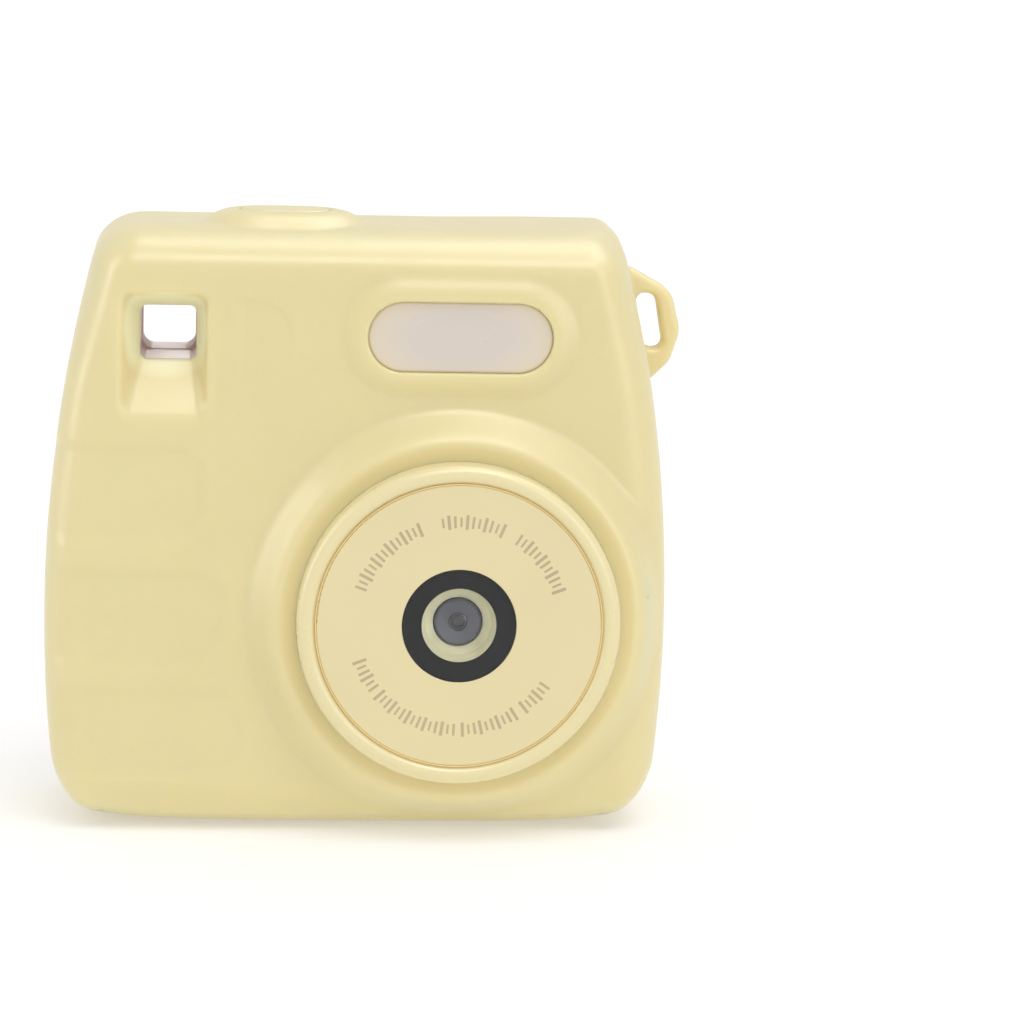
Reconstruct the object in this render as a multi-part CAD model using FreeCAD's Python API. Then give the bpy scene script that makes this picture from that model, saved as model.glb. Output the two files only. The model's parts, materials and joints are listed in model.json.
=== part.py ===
import FreeCAD, Part
import math
import os

# A children's digital camera: a hard two-part casing inside a soft silicone sleeve.
# Frame: +X to the right seen from the front, +Y to the back, +Z up, millimetres.
# Origin: centre of the flat base, half-way through the depth of the body.

# ---- driving dimensions -------------------------------------------------------
HEIGHT = 96.5
HALF_WIDTH = 49.6
HALF_DEPTH = 18.0
SIDE_RADIUS = 232.0      # the sides are single long arcs
WAIST_Z = 34.0           # height at which the body is widest

SLEEVE_WALL = 2.0
SLEEVE_TOP_CORNER = 6.2
SLEEVE_BOTTOM_CORNER = 8.5
SLEEVE_FRONT_FILLET = 6.6
SLEEVE_BACK_FILLET = 5.0
SLEEVE_LIP = 6.5         # how far the sleeve wraps onto the back

CLEARANCE = 0.15         # between the sleeve and the casing
SHELL_WALL = 1.8
SHELL_INSET = SLEEVE_WALL + CLEARANCE
SHELL_FRONT = HALF_DEPTH - SHELL_INSET
CAVITY_INSET = SHELL_INSET + SHELL_WALL
CAVITY_HALF = SHELL_FRONT - SHELL_WALL
SHELL_TOP_CORNER = 6.5
SHELL_BOTTOM_CORNER = 8.0
SHELL_FILLET = 6.0
SHELL_BACK_FILLET = 4.4
PARTING_Y = 0.0
PANEL_Y = 17.6           # outer face of the raised rear panel
PANEL_INSET = SLEEVE_LIP + 0.2
PANEL_CORNER = 7.0
POCKET_INSET = 10.0      # the rear panel is hollow inside this inset

LENS_X, LENS_Z = 15.8, 35.8
DOME_RADIUS = 33.4
LENS_RING_RADIUS = 25.5
PLATE_RADIUS = 22.5
PLATE_Y = -26.0
PLATE_THICKNESS = 1.6
WINDOW_RADIUS = 9.0
WELL_MOUTH_RADIUS = 5.9
WELL_FLOOR_RADIUS = 3.95
LENS_CELL_RADIUS = 3.75
LENS_CELL_Y = -22.4
LENS_SCREW_CIRCLE = 20.0

FLASH_X, FLASH_Z = 15.5, 80.4
FLASH_W, FLASH_H = 29.2, 11.2

EYE_X, EYE_Z = -30.3, 79.8
EYE_W, EYE_H = 8.8, 8.6
FUNNEL_X0, FUNNEL_X1 = -37.5, -24.0
FUNNEL_Z0, FUNNEL_Z1 = 66.8, 86.5
FUNNEL_DEPTH = 5.6
FUNNEL_WALL = 1.3

SHUTTER_X = -12.0
SHUTTER_W, SHUTTER_D = 14.6, 9.2
COLLAR_W, COLLAR_D = 21.5, 16.0
COLLAR_TOP = HEIGHT + 2.2

BOARD_Y0, BOARD_Y1 = 8.5, 10.1
BOARD_HALF_W = 42.0
BOARD_Z0, BOARD_Z1 = 18.0, 72.0
SWITCH_TOP = BOARD_Y1 + 2.4

SCREEN_X, SCREEN_Z = 13.5, 47.0
SCREEN_W, SCREEN_H = 50.0, 39.0
VIEW_W, VIEW_H = 42.0, 32.0

PAD_X, PAD_Z = -27.0, 46.0
PAD_PITCH = 10.0
ARROW_KEY_RADIUS = 3.6
OK_KEY_RADIUS = 3.9
SMALL_KEY_RADIUS = 3.3
KEYS = {
    "key_up": (PAD_X, PAD_Z + PAD_PITCH, ARROW_KEY_RADIUS),
    "key_down": (PAD_X, PAD_Z - PAD_PITCH, ARROW_KEY_RADIUS),
    "key_left": (PAD_X + PAD_PITCH, PAD_Z, ARROW_KEY_RADIUS),
    "key_right": (PAD_X - PAD_PITCH, PAD_Z, ARROW_KEY_RADIUS),
    "key_ok": (PAD_X, PAD_Z, OK_KEY_RADIUS),
    "key_menu": (-35.5, 65.5, SMALL_KEY_RADIUS),
    "key_play": (-18.5, 65.5, SMALL_KEY_RADIUS),
    "key_power": (PAD_X, 25.0, ARROW_KEY_RADIUS),
}
KEY_CLEARANCE = 0.2
KEY_FACE_Y = PANEL_Y + 1.1
KEY_STEM_RADIUS = 1.1
SWITCH_WELL_RADIUS = 1.5

CASE_SCREWS = [(37.0, 13.0), (-37.0, 13.0), (35.0, 76.0), (-9.0, 79.0)]
BOARD_SCREWS = [(39.2, 24.0), (-39.2, 24.0), (38.6, 68.5), (-39.0, 55.5)]

USB_Z, USB_Y = 58.5, 6.6
CARD_Z, CARD_Y = 42.0, 7.4
PORT_Z0, PORT_Z1 = 33.0, 66.0
PORT_Y0, PORT_Y1 = 2.6, 11.4

SPEAKER_X, SPEAKER_Z = 13.5, 17.6
SPEAKER_RADIUS = 7.5
LAMP_X, LAMP_Z = -36.0, 25.0
MICROPHONE_X, MICROPHONE_Z = -18.0, 25.0


# ---- small helpers ------------------------------------------------------------
def vec(x, y, z):
    return FreeCAD.Vector(x, y, z)


def block(x0, x1, y0, y1, z0, z1):
    return Part.makeBox(x1 - x0, y1 - y0, z1 - z0, vec(x0, y0, z0))


def rod(radius, x, z, y0, y1):
    """A round bar along Y."""
    return Part.makeCylinder(radius, y1 - y0, vec(x, y0, z), vec(0, 1, 0))


def post(radius, x, y, z0, z1):
    """A round bar along Z."""
    return Part.makeCylinder(radius, z1 - z0, vec(x, y, z0), vec(0, 0, 1))


def tube(outer, inner, x, z, y0, y1):
    return rod(outer, x, z, y0, y1).cut(rod(inner, x, z, y0 - 1, y1 + 1))


def arc_edge(a, b, c):
    return Part.Arc(a, b, c).toShape()


def line_edge(a, b):
    return Part.LineSegment(a, b).toShape()


def rounded_wire(x, z, w, h, r, y):
    """A rounded rectangle, w along X and h along Z, in the plane at y."""
    k = r * (1 - math.sqrt(0.5))
    x0, x1, z0, z1 = x - w / 2, x + w / 2, z - h / 2, z + h / 2
    edges = [
        line_edge(vec(x0 + r, y, z0), vec(x1 - r, y, z0)),
        arc_edge(vec(x1 - r, y, z0), vec(x1 - k, y, z0 + k), vec(x1, y, z0 + r)),
        line_edge(vec(x1, y, z0 + r), vec(x1, y, z1 - r)),
        arc_edge(vec(x1, y, z1 - r), vec(x1 - k, y, z1 - k), vec(x1 - r, y, z1)),
        line_edge(vec(x1 - r, y, z1), vec(x0 + r, y, z1)),
        arc_edge(vec(x0 + r, y, z1), vec(x0 + k, y, z1 - k), vec(x0, y, z1 - r)),
        line_edge(vec(x0, y, z1 - r), vec(x0, y, z0 + r)),
        arc_edge(vec(x0, y, z0 + r), vec(x0 + k, y, z0 + k), vec(x0 + r, y, z0)),
    ]
    return Part.Wire(edges)


def rounded_bar(x, z, w, h, r, y0, y1):
    """A rounded rectangle extruded along Y."""
    return Part.Face(rounded_wire(x, z, w, h, r, y0)).extrude(vec(0, y1 - y0, 0))


def stadium_bar(x, z, w, h, y0, y1):
    """A stadium, long side along X, extruded along Y."""
    half = (w - h) / 2
    ends = rod(h / 2, x - half, z, y0, y1).fuse(rod(h / 2, x + half, z, y0, y1))
    middle = block(x - half, x + half, y0, y1, z - h / 2, z + h / 2)
    return ends.fuse(middle).removeSplitter()


def stadium_post(x, y, w, d, z0, z1):
    """A stadium, long side along X, extruded along Z."""
    half = (w - d) / 2
    ends = post(d / 2, x - half, y, z0, z1).fuse(post(d / 2, x + half, y, z0, z1))
    middle = block(x - half, x + half, y - d / 2, y + d / 2, z0, z1)
    return ends.fuse(middle).removeSplitter()


def funnel(x0, z0, w0, h0, r0, y0, x1, z1, w1, h1, r1, y1):
    """A tapered hole between two rounded rectangles."""
    wires = [rounded_wire(x0, z0, w0, h0, r0, y0), rounded_wire(x1, z1, w1, h1, r1, y1)]
    return Part.makeLoft(wires, True, True)


def turned(profile, x, z):
    """Turns a closed (radius, y) outline about the Y line through (x, z)."""
    points = [vec(x + r, y, z) for r, y in profile]
    face = Part.Face(Part.makePolygon(points + points[:1]))
    return face.revolve(vec(x, 0, z), vec(0, 1, 0), 360)


def fillet_at_y(shape, y, radius):
    edges = [e for e in shape.Edges
             if abs(e.BoundBox.YMin - y) < 1e-4 and abs(e.BoundBox.YMax - y) < 1e-4]
    return shape.makeFillet(radius, edges)


def fillet_at_z(shape, z, radius):
    edges = [e for e in shape.Edges
             if abs(e.BoundBox.ZMin - z) < 1e-4 and abs(e.BoundBox.ZMax - z) < 1e-4]
    return shape.makeFillet(radius, edges)


def join(shapes):
    result = shapes[0]
    for shape in shapes[1:]:
        result = result.fuse(shape)
    return result


# ---- the body outline ---------------------------------------------------------
def outline(inset, top_corner, bottom_corner, y):
    """The front view of the body, moved in by inset: arched sides, rounded corners."""
    centre_x = HALF_WIDTH - SIDE_RADIUS
    side = SIDE_RADIUS - inset
    top = HEIGHT - inset
    top_z = top - top_corner
    top_x = centre_x + math.sqrt((side - top_corner) ** 2 - (top_z - WAIST_Z) ** 2)
    low_z = inset + bottom_corner
    low_x = centre_x + math.sqrt((side - bottom_corner) ** 2 - (low_z - WAIST_Z) ** 2)
    top_angle = math.atan2(top_z - WAIST_Z, top_x - centre_x)
    low_angle = math.atan2(low_z - WAIST_Z, low_x - centre_x)

    def mark(x, z, radius, angle, flip):
        return vec(flip * (x + radius * math.cos(angle)), y, z + radius * math.sin(angle))

    def half(flip):
        right_angle = math.pi / 2
        top_mid = (right_angle + top_angle) / 2
        low_mid = (low_angle - right_angle) / 2
        a = mark(top_x, top_z, top_corner, right_angle, flip)
        b = mark(top_x, top_z, top_corner, top_angle, flip)
        c = mark(low_x, low_z, bottom_corner, low_angle, flip)
        d = mark(low_x, low_z, bottom_corner, -right_angle, flip)
        edges = [
            arc_edge(a, mark(top_x, top_z, top_corner, top_mid, flip), b),
            arc_edge(b, mark(centre_x, WAIST_Z, side, 0, flip), c),
            arc_edge(c, mark(low_x, low_z, bottom_corner, low_mid, flip), d),
        ]
        return a, d, edges

    right_top, right_low, right_edges = half(1)
    left_top, left_low, left_edges = half(-1)
    bottom = line_edge(right_low, left_low)
    roof = line_edge(left_top, right_top)
    return Part.Wire(Part.__sortEdges__(right_edges + left_edges + [bottom, roof]))


def body_bar(inset, top_corner, bottom_corner, y0, y1):
    face = Part.Face(outline(inset, top_corner, bottom_corner, y0))
    return face.extrude(vec(0, y1 - y0, 0))


# ---- the soft sleeve ----------------------------------------------------------
def sleeve_dome():
    """The raised ring of silicone round the lens."""
    inner = LENS_RING_RADIUS - 1
    return turned([(inner, -12), (DOME_RADIUS, -12), (DOME_RADIUS, -18.3), (32.2, -18.8),
                   (31.2, -19.8), (30.4, -21.0), (29.2, -22.0), (27.8, -22.4),
                   (26.6, -22.2), (25.9, -21.6), (inner, -21.4)], LENS_X, LENS_Z)


def strap_loop():
    """The flat eye on the +X side that a wrist strap is looped through."""
    outer = [(40.5, 91.0), (43.9, 90.7), (47.6, 88.2), (50.2, 86.0), (51.5, 83.4),
             (52.1, 79.6), (51.3, 76.6), (49.2, 73.8), (48.0, 71.2), (42.0, 70.6)]
    slot = [(46.3, 86.1), (45.5, 84.4), (46.9, 77.2), (47.7, 77.2), (49.3, 80.3), (48.5, 84.6)]
    thick = 2.6

    def plate(points):
        corners = [vec(x, -thick, z) for x, z in points]
        return Part.Face(Part.makePolygon(corners + corners[:1])).extrude(vec(0, 2 * thick, 0))

    return plate(outer).cut(plate(slot))


def funnel_block(grow, y0, y1):
    wall = FUNNEL_WALL + grow
    return block(FUNNEL_X0 - wall, FUNNEL_X1 + wall, y0, y1, FUNNEL_Z0 - wall, FUNNEL_Z1 + wall)


def finger_recesses(body):
    """Three shallow grip recesses that wrap round the left edge."""
    depth = 0.7
    skin = body.cut(body_bar(depth, SLEEVE_TOP_CORNER, SLEEVE_BOTTOM_CORNER,
                             depth - HALF_DEPTH, HALF_DEPTH + 1))
    rows = [(-24.3, 54.8, 15.0), (-20.9, 35.1, 14.4), (-17.5, 16.4, 13.6)]
    cuts = []
    for end_x, z, h in rows:
        bar = rounded_bar((end_x - 60) / 2, z, 60 + end_x, h, 4.5, -HALF_DEPTH - 1, 3)
        cuts.append(skin.common(bar))
    return cuts


def silicone_sleeve():
    body = body_bar(0, SLEEVE_TOP_CORNER, SLEEVE_BOTTOM_CORNER, -HALF_DEPTH, HALF_DEPTH)
    body = fillet_at_y(body, -HALF_DEPTH, SLEEVE_FRONT_FILLET)
    body = fillet_at_y(body, HALF_DEPTH, SLEEVE_BACK_FILLET)
    for recess in finger_recesses(body):
        body = body.cut(recess)
    collar = stadium_post(SHUTTER_X, 0, COLLAR_W, COLLAR_D, HEIGHT - 3, COLLAR_TOP)
    collar = fillet_at_z(collar, COLLAR_TOP, 1.8)
    bezel = stadium_bar(FLASH_X, FLASH_Z, FLASH_W + 4.6, FLASH_H + 4.6, -HALF_DEPTH - 0.9, -15)
    bezel = fillet_at_y(bezel, -HALF_DEPTH - 0.9, 0.85)
    body = join([body, sleeve_dome(), strap_loop(), collar, bezel])

    inside = HALF_DEPTH - SLEEVE_WALL
    cavity = body_bar(SLEEVE_WALL, SHELL_TOP_CORNER + 0.1, SHELL_BOTTOM_CORNER + 0.1, -inside, inside)
    cavity = fillet_at_y(cavity, -inside, SHELL_FILLET + 0.1)
    cavity = fillet_at_y(cavity, inside, SHELL_BACK_FILLET + 0.1)
    collar_space = tube(30.0, LENS_RING_RADIUS - 2, LENS_X, LENS_Z, -19.5, -12)
    back_opening = body_bar(SLEEVE_LIP, PANEL_CORNER + 0.2, PANEL_CORNER + 0.2, inside - 1, 20)
    body = body.cut(cavity).cut(back_opening).cut(collar_space)
    body = body.fuse(funnel_block(0, -HALF_DEPTH + 0.4, -HALF_DEPTH + FUNNEL_DEPTH + 1.0))

    floor_y = -HALF_DEPTH + FUNNEL_DEPTH
    mouth_w, mouth_h = FUNNEL_X1 - FUNNEL_X0, FUNNEL_Z1 - FUNNEL_Z0
    mouth_x, mouth_z = (FUNNEL_X0 + FUNNEL_X1) / 2, (FUNNEL_Z0 + FUNNEL_Z1) / 2
    body = body.cut(funnel(mouth_x, mouth_z, mouth_w, mouth_h, 2.4, -HALF_DEPTH - 0.1,
                           EYE_X, EYE_Z, EYE_W, EYE_H, 1.2, floor_y))
    body = body.cut(rounded_bar(EYE_X, EYE_Z, EYE_W, EYE_H, 1.2, floor_y - 0.1, -8))
    body = body.cut(rod(LENS_RING_RADIUS + CLEARANCE, LENS_X, LENS_Z, -30, -10))
    body = body.cut(stadium_bar(FLASH_X, FLASH_Z, FLASH_W + 0.3, FLASH_H + 0.3, -25, -10))
    body = body.cut(stadium_post(SHUTTER_X, 0, SHUTTER_W + 0.6, SHUTTER_D + 0.6, 88, 110))
    return body.cut(block(44, 56, PORT_Y0, PORT_Y1, PORT_Z0, PORT_Z1))


# ---- the hard casing ----------------------------------------------------------
def front_shell():
    outer = body_bar(SHELL_INSET, SHELL_TOP_CORNER, SHELL_BOTTOM_CORNER, -SHELL_FRONT, PARTING_Y)
    outer = fillet_at_y(outer, -SHELL_FRONT, SHELL_FILLET)
    cavity = body_bar(CAVITY_INSET, SHELL_TOP_CORNER - 1.8, SHELL_BOTTOM_CORNER - 1.8,
                      -CAVITY_HALF, PARTING_Y + 1)
    cavity = fillet_at_y(cavity, -CAVITY_HALF, SHELL_FILLET - 1.8)
    shell = outer.cut(cavity)

    pocket_floor = -HALF_DEPTH + FUNNEL_DEPTH + 1.0 + CLEARANCE
    pocket = funnel_block(CLEARANCE, -30, pocket_floor)
    pocket_wall = funnel_block(CLEARANCE + 1.4, -SHELL_FRONT, pocket_floor + 1.4).common(outer)
    eye_tube = rounded_bar(EYE_X, EYE_Z, EYE_W + 2.8, EYE_H + 2.8, 2.0, pocket_floor, PARTING_Y)
    lens_collar = tube(29.85, LENS_RING_RADIUS + 0.3, LENS_X, LENS_Z, -19.3, -CAVITY_HALF)
    shell = join([shell, pocket_wall, eye_tube, lens_collar])
    for x, z in CASE_SCREWS:
        boss = rod(2.8, x, z, -CAVITY_HALF - 0.5, PARTING_Y - 0.1)
        shell = shell.fuse(boss).cut(rod(1.0, x, z, -10, PARTING_Y + 1))

    shell = shell.cut(pocket)
    shell = shell.cut(rounded_bar(EYE_X, EYE_Z, EYE_W, EYE_H, 1.2, -14, PARTING_Y + 1))
    shell = shell.cut(rod(16, LENS_X, LENS_Z, -30, -10))
    for x, z in lens_screw_places():
        shell = shell.cut(rod(1.15, x, z, -20, -10))
    shell = shell.cut(stadium_bar(FLASH_X, FLASH_Z, FLASH_W + 0.3, FLASH_H + 0.3, -20, -13))
    return shell.cut(stadium_post(SHUTTER_X, 0, SHUTTER_W + 0.4, SHUTTER_D + 0.4, 89, 100))


def rear_shell():
    outer = body_bar(SHELL_INSET, SHELL_TOP_CORNER, SHELL_BOTTOM_CORNER, PARTING_Y, SHELL_FRONT)
    outer = fillet_at_y(outer, SHELL_FRONT, SHELL_BACK_FILLET)
    panel = body_bar(PANEL_INSET, PANEL_CORNER, PANEL_CORNER, 12, PANEL_Y)
    panel = fillet_at_y(panel, PANEL_Y, 0.6)
    cavity = body_bar(CAVITY_INSET, SHELL_TOP_CORNER - 1.8, SHELL_BOTTOM_CORNER - 1.8,
                      PARTING_Y - 1, CAVITY_HALF)
    cavity = fillet_at_y(cavity, CAVITY_HALF, SHELL_BACK_FILLET - 1.8)
    pocket = body_bar(POCKET_INSET, 5, 5, 13, PANEL_Y - SHELL_WALL)
    shell = outer.fuse(panel).cut(cavity).cut(pocket)

    eye_wall = 1.3
    flare_w, flare_h, flare_y = 11.4, 10.8, 8.0
    eye_tube = rounded_bar(EYE_X, EYE_Z, flare_w + 2 * eye_wall, flare_h + 2 * eye_wall, 2.5,
                           flare_y - 1, PANEL_Y - 0.5)
    narrow = rounded_bar(EYE_X, EYE_Z, EYE_W + 2.6, EYE_H + 2.6, 2.0, PARTING_Y, flare_y)
    additions = [eye_tube.common(outer.fuse(panel)), narrow]
    for x, z in CASE_SCREWS:
        additions.append(rod(3.0, x, z, PARTING_Y, PANEL_Y - 1))
    for x, z in BOARD_SCREWS:
        additions.append(rod(2.3, x, z, BOARD_Y1, CAVITY_HALF + 0.5))
    shell = join([shell] + additions)

    shell = shell.cut(rounded_bar(EYE_X, EYE_Z, EYE_W - 0.3, EYE_H - 0.3, 1.9, -1, flare_y + 1))
    shell = shell.cut(funnel(EYE_X, EYE_Z, EYE_W - 0.3, EYE_H - 0.3, 1.9, flare_y,
                             EYE_X, EYE_Z, flare_w, flare_h, 2.4, PANEL_Y + 0.05))
    for x, z in CASE_SCREWS:
        shell = shell.cut(rod(1.15, x, z, -1, 20)).cut(rod(2.2, x, z, 13.5, 20))
    for x, z in BOARD_SCREWS:
        shell = shell.cut(rod(0.9, x, z, BOARD_Y1 - 1, CAVITY_HALF - 0.5))
    return cut_rear_openings(shell)


def cut_rear_openings(shell):
    """Openings for the screen, the keys, the sound, the lamp, the ports and the shutter."""
    window_seat = rounded_bar(SCREEN_X, SCREEN_Z, SCREEN_W + 0.2, SCREEN_H + 0.2, 3.1, 16.4, 20)
    view = rounded_bar(SCREEN_X, SCREEN_Z, VIEW_W, VIEW_H, 1.0, 12, 20)
    shell = shell.cut(window_seat).cut(view)
    for x, z, radius in KEYS.values():
        shell = shell.cut(rod(radius + KEY_CLEARANCE, x, z, 12, 20))
        shell = shell.cut(rod(radius + 1.1, x, z, 12, PANEL_Y - SHELL_WALL))
    for x, z in speaker_hole_places():
        shell = shell.cut(rod(0.6, x, z, 14, 20))
    shell = shell.cut(rod(0.5, MICROPHONE_X, MICROPHONE_Z, 14, 20))
    shell = shell.cut(rod(1.1, LAMP_X, LAMP_Z, 14, 20))
    usb_half, card_half = 4.65, 6.2
    shell = shell.cut(port_hole(USB_Y, USB_Z, 3.5, 2 * usb_half, 1.7))
    shell = shell.cut(port_hole(CARD_Y, CARD_Z, 1.4, 2 * card_half, 0.5))
    return shell.cut(stadium_post(SHUTTER_X, 0, SHUTTER_W + 0.4, SHUTTER_D + 0.4, 89, 100))


def port_hole(y, z, d, h, r):
    """A rounded slot through the side wall, d deep in Y and h tall in Z."""
    bar = block(40, 55, y - d / 2, y + d / 2, z - h / 2, z + h / 2)
    edges = [e for e in bar.Edges if e.BoundBox.XLength > 1]
    return bar.makeFillet(r, edges)


def speaker_hole_places():
    places = [(SPEAKER_X, SPEAKER_Z)]
    for count, circle in ((6, 2.2), (12, 4.4)):
        for i in range(count):
            angle = 2 * math.pi * i / count
            places.append((SPEAKER_X + circle * math.cos(angle), SPEAKER_Z + circle * math.sin(angle)))
    return places


def lens_screw_places():
    places = []
    for degrees in (90, 210, 330):
        angle = math.radians(degrees)
        places.append((LENS_X + LENS_SCREW_CIRCLE * math.cos(angle),
                       LENS_Z + LENS_SCREW_CIRCLE * math.sin(angle)))
    return places


def screw(x, z, head_y, head_radius, head_height, shank_radius, length, way):
    """A cross-head screw along Y; way is +1 when its head points to the back."""
    lean = 0.35
    head = turned([(0, 0), (shank_radius, 0), (head_radius, 0), (head_radius, way * head_height * 0.6),
                   (head_radius * 0.7, way * head_height), (0, way * head_height)], 0, 0)
    low, high = sorted((0, -way * length))
    shank = rod(shank_radius, 0, 0, low, high)
    tip_low, tip_high = sorted((way * head_height * 0.4, way * (head_height + 1)))
    arm = head_radius * 0.55
    cross = block(-arm, arm, tip_low, tip_high, -lean / 2, lean / 2)
    cross = cross.fuse(block(-lean / 2, lean / 2, tip_low, tip_high, -arm, arm))
    body = head.fuse(shank).cut(cross)
    body.translate(vec(x, head_y, z))
    return body


def case_screws():
    return Part.makeCompound([screw(x, z, 13.5, 2.0, 1.3, 0.95, 20.5, 1) for x, z in CASE_SCREWS])


def board_screws():
    return Part.makeCompound([screw(x, z, BOARD_Y0, 1.7, 1.0, 0.85, 4.8, -1) for x, z in BOARD_SCREWS])


def lens_screws():
    return Part.makeCompound([screw(x, z, -CAVITY_HALF, 1.9, 1.1, 0.95, 6.5, 1)
                              for x, z in lens_screw_places()])


# ---- the lens -----------------------------------------------------------------
def lens_ring():
    outer = LENS_RING_RADIUS
    body = turned([(17.5, -15.85), (outer - 0.1, -15.85), (outer - 0.1, -19.6), (outer, -20.0),
                   (outer, -24.9), (25.3, -25.7), (24.8, -26.2), (24.1, -26.45),
                   (23.3, -26.4), (22.75, -26.1), (22.6, -25.8), (22.6, -24.35),
                   (21.2, -24.35), (21.2, -23.2), (23.4, -23.2), (23.4, -17.4), (17.5, -17.4)],
                  LENS_X, LENS_Z)
    for x, z in lens_screw_places():
        body = body.fuse(rod(2.2, x, z, -22.6, -17.0)).cut(rod(1.0, x, z, -21.5, -15))
    return body


def lens_plate():
    back = PLATE_Y + PLATE_THICKNESS
    plate = rod(PLATE_RADIUS, LENS_X, LENS_Z, PLATE_Y, back)
    plate = fillet_at_y(plate, PLATE_Y, 0.3)
    for side in (-1, 1):
        x = LENS_X + side * 11.0
        plate = plate.fuse(rod(2.0, x, LENS_Z, back - 0.2, -18.2))
        plate = plate.cut(rod(0.85, x, LENS_Z, -22.5, -18))
    plate = plate.cut(rod(WINDOW_RADIUS + 0.05, LENS_X, LENS_Z, PLATE_Y - 1, PLATE_Y + 1.05))
    return plate.cut(rod(7.2, LENS_X, LENS_Z, PLATE_Y - 1, back + 1))


def lens_window():
    return rod(WINDOW_RADIUS, LENS_X, LENS_Z, PLATE_Y + 0.05, PLATE_Y + 0.75)


def lens_mask_ring():
    return tube(WINDOW_RADIUS, WELL_MOUTH_RADIUS, LENS_X, LENS_Z, PLATE_Y + 0.78, PLATE_Y + 1.03)


def lens_well():
    """The pale cone that the lens looks out of."""
    return turned([(WELL_MOUTH_RADIUS, -24.9), (7.1, -24.9), (7.1, -21.0), (WELL_FLOOR_RADIUS, -21.0),
                   (WELL_FLOOR_RADIUS, -22.0), (5.2, -22.6), (5.7, -23.6)], LENS_X, LENS_Z)


def lens_barrel():
    front, r = LENS_CELL_Y, LENS_CELL_RADIUS
    return turned([(1.5, front + 0.35), (2.3, front + 0.2), (r - 0.35, front), (r, front + 0.3),
                   (r, -18.9), (1.5, -18.9)], LENS_X, LENS_Z)


def lens_glass():
    return turned([(0, -22.3), (0.75, -22.2), (1.4, -21.95), (1.4, -20.6), (0, -20.6)], LENS_X, LENS_Z)


def camera_module():
    square = rounded_bar(LENS_X, LENS_Z, 8.6, 8.6, 0.6, -18.85, -15.6)
    sensor_board = block(LENS_X - 4.9, LENS_X + 4.9, -15.6, -14.9, LENS_Z - 4.9, LENS_Z + 4.9)
    return square.fuse(sensor_board)


def camera_holder():
    """The bridge that clamps the module behind the lens plate."""
    bar = rounded_bar(LENS_X, LENS_Z, 28.0, 12.4, 3.0, -18.1, -16.4)
    bar = bar.cut(rounded_bar(LENS_X, LENS_Z, 8.9, 8.9, 0.7, -20, -10))
    for side in (-1, 1):
        bar = bar.cut(rod(1.1, LENS_X + side * 11.0, LENS_Z, -20, -10))
    return bar


def holder_screws():
    return Part.makeCompound([screw(LENS_X + side * 11.0, LENS_Z, -16.4, 1.6, 0.9, 0.8, 4.5, 1)
                              for side in (-1, 1)])


def flat_ribbon(x0, x1, path, thickness):
    """A flat flexible cable of constant width in X that follows (y, z) runs."""
    half = thickness / 2
    pieces = []
    for (ya, za), (yb, zb) in zip(path, path[1:]):
        pieces.append(block(x0, x1, min(ya, yb) - half, max(ya, yb) + half,
                            min(za, zb) - half, max(za, zb) + half))
    return join(pieces).removeSplitter()


def camera_ribbon():
    return flat_ribbon(LENS_X - 3, LENS_X + 3,
                       [(-14.7, 35.0), (-14.7, 20.5), (8.3, 20.5)], 0.3)


# ---- flash --------------------------------------------------------------------
def flash_window():
    window = stadium_bar(FLASH_X, FLASH_Z, FLASH_W, FLASH_H, -18.3, -13.9)
    window = fillet_at_y(window, -18.3, 0.5)
    return window.fuse(stadium_bar(FLASH_X, FLASH_Z, FLASH_W + 3, FLASH_H + 2.6, -14.0, -12.9))


def flash_reflector():
    tray = rounded_bar(FLASH_X, FLASH_Z, 30.0, 12.4, 1.5, -12.8, -8.1)
    for side in (-1, 1):
        x = FLASH_X + side * 7.2
        tray = tray.cut(funnel(x, FLASH_Z, 13.2, 10.6, 1.0, -12.9, x, FLASH_Z, 5.0, 4.4, 0.8, -8.0))
    return tray


def flash_board():
    return rounded_bar(FLASH_X, FLASH_Z, 30.0, 12.4, 1.0, -8.0, -7.0)


def flash_leds():
    return Part.makeCompound([rounded_bar(FLASH_X + side * 7.2, FLASH_Z, 3.5, 2.8, 0.3, -8.9, -8.0)
                              for side in (-1, 1)])


# ---- shutter ------------------------------------------------------------------
def shutter_button():
    top = COLLAR_TOP + 0.35
    cap = stadium_post(SHUTTER_X, 0, SHUTTER_W, SHUTTER_D, 92.0, top)
    cap = fillet_at_z(cap, top, 0.9)
    flange = stadium_post(SHUTTER_X, 0, SHUTTER_W + 3, SHUTTER_D + 2.6, 90.9, 92.3)
    stem = post(1.4, SHUTTER_X, 0, 88.4, 91.0)
    return join([cap, flange, stem])


def shutter_board():
    return block(SHUTTER_X - 11.5, SHUTTER_X + 12.5, -6, 6, 84.9, 86.1)


def shutter_switch():
    body = block(SHUTTER_X - 3, SHUTTER_X + 3, -3, 3, 86.1, 88.3)
    return body.cut(post(1.8, SHUTTER_X, 0, 87.0, 89))


# ---- electronics --------------------------------------------------------------
def main_board():
    board = block(-BOARD_HALF_W, BOARD_HALF_W, BOARD_Y0, BOARD_Y1, BOARD_Z0, BOARD_Z1)
    for x, z in BOARD_SCREWS:
        board = board.cut(rod(1.0, x, z, BOARD_Y0 - 1, BOARD_Y1 + 1))
    return board


def board_chips():
    """Processor, memory, charger, coil and small parts on the front of the board."""
    chips = [(-24, 46, 12, 12, 1.0), (-24, 30, 8, 6, 0.9), (-34, 40, 4, 4, 0.8),
             (-36, 66, 5, 4, 1.6), (-22, 62, 9, 3, 1.2), (30, 26, 6, 5, 1.0)]
    return Part.makeCompound([rounded_bar(x, z, w, h, 0.3, BOARD_Y0 - t, BOARD_Y0)
                              for x, z, w, h, t in chips])


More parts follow.
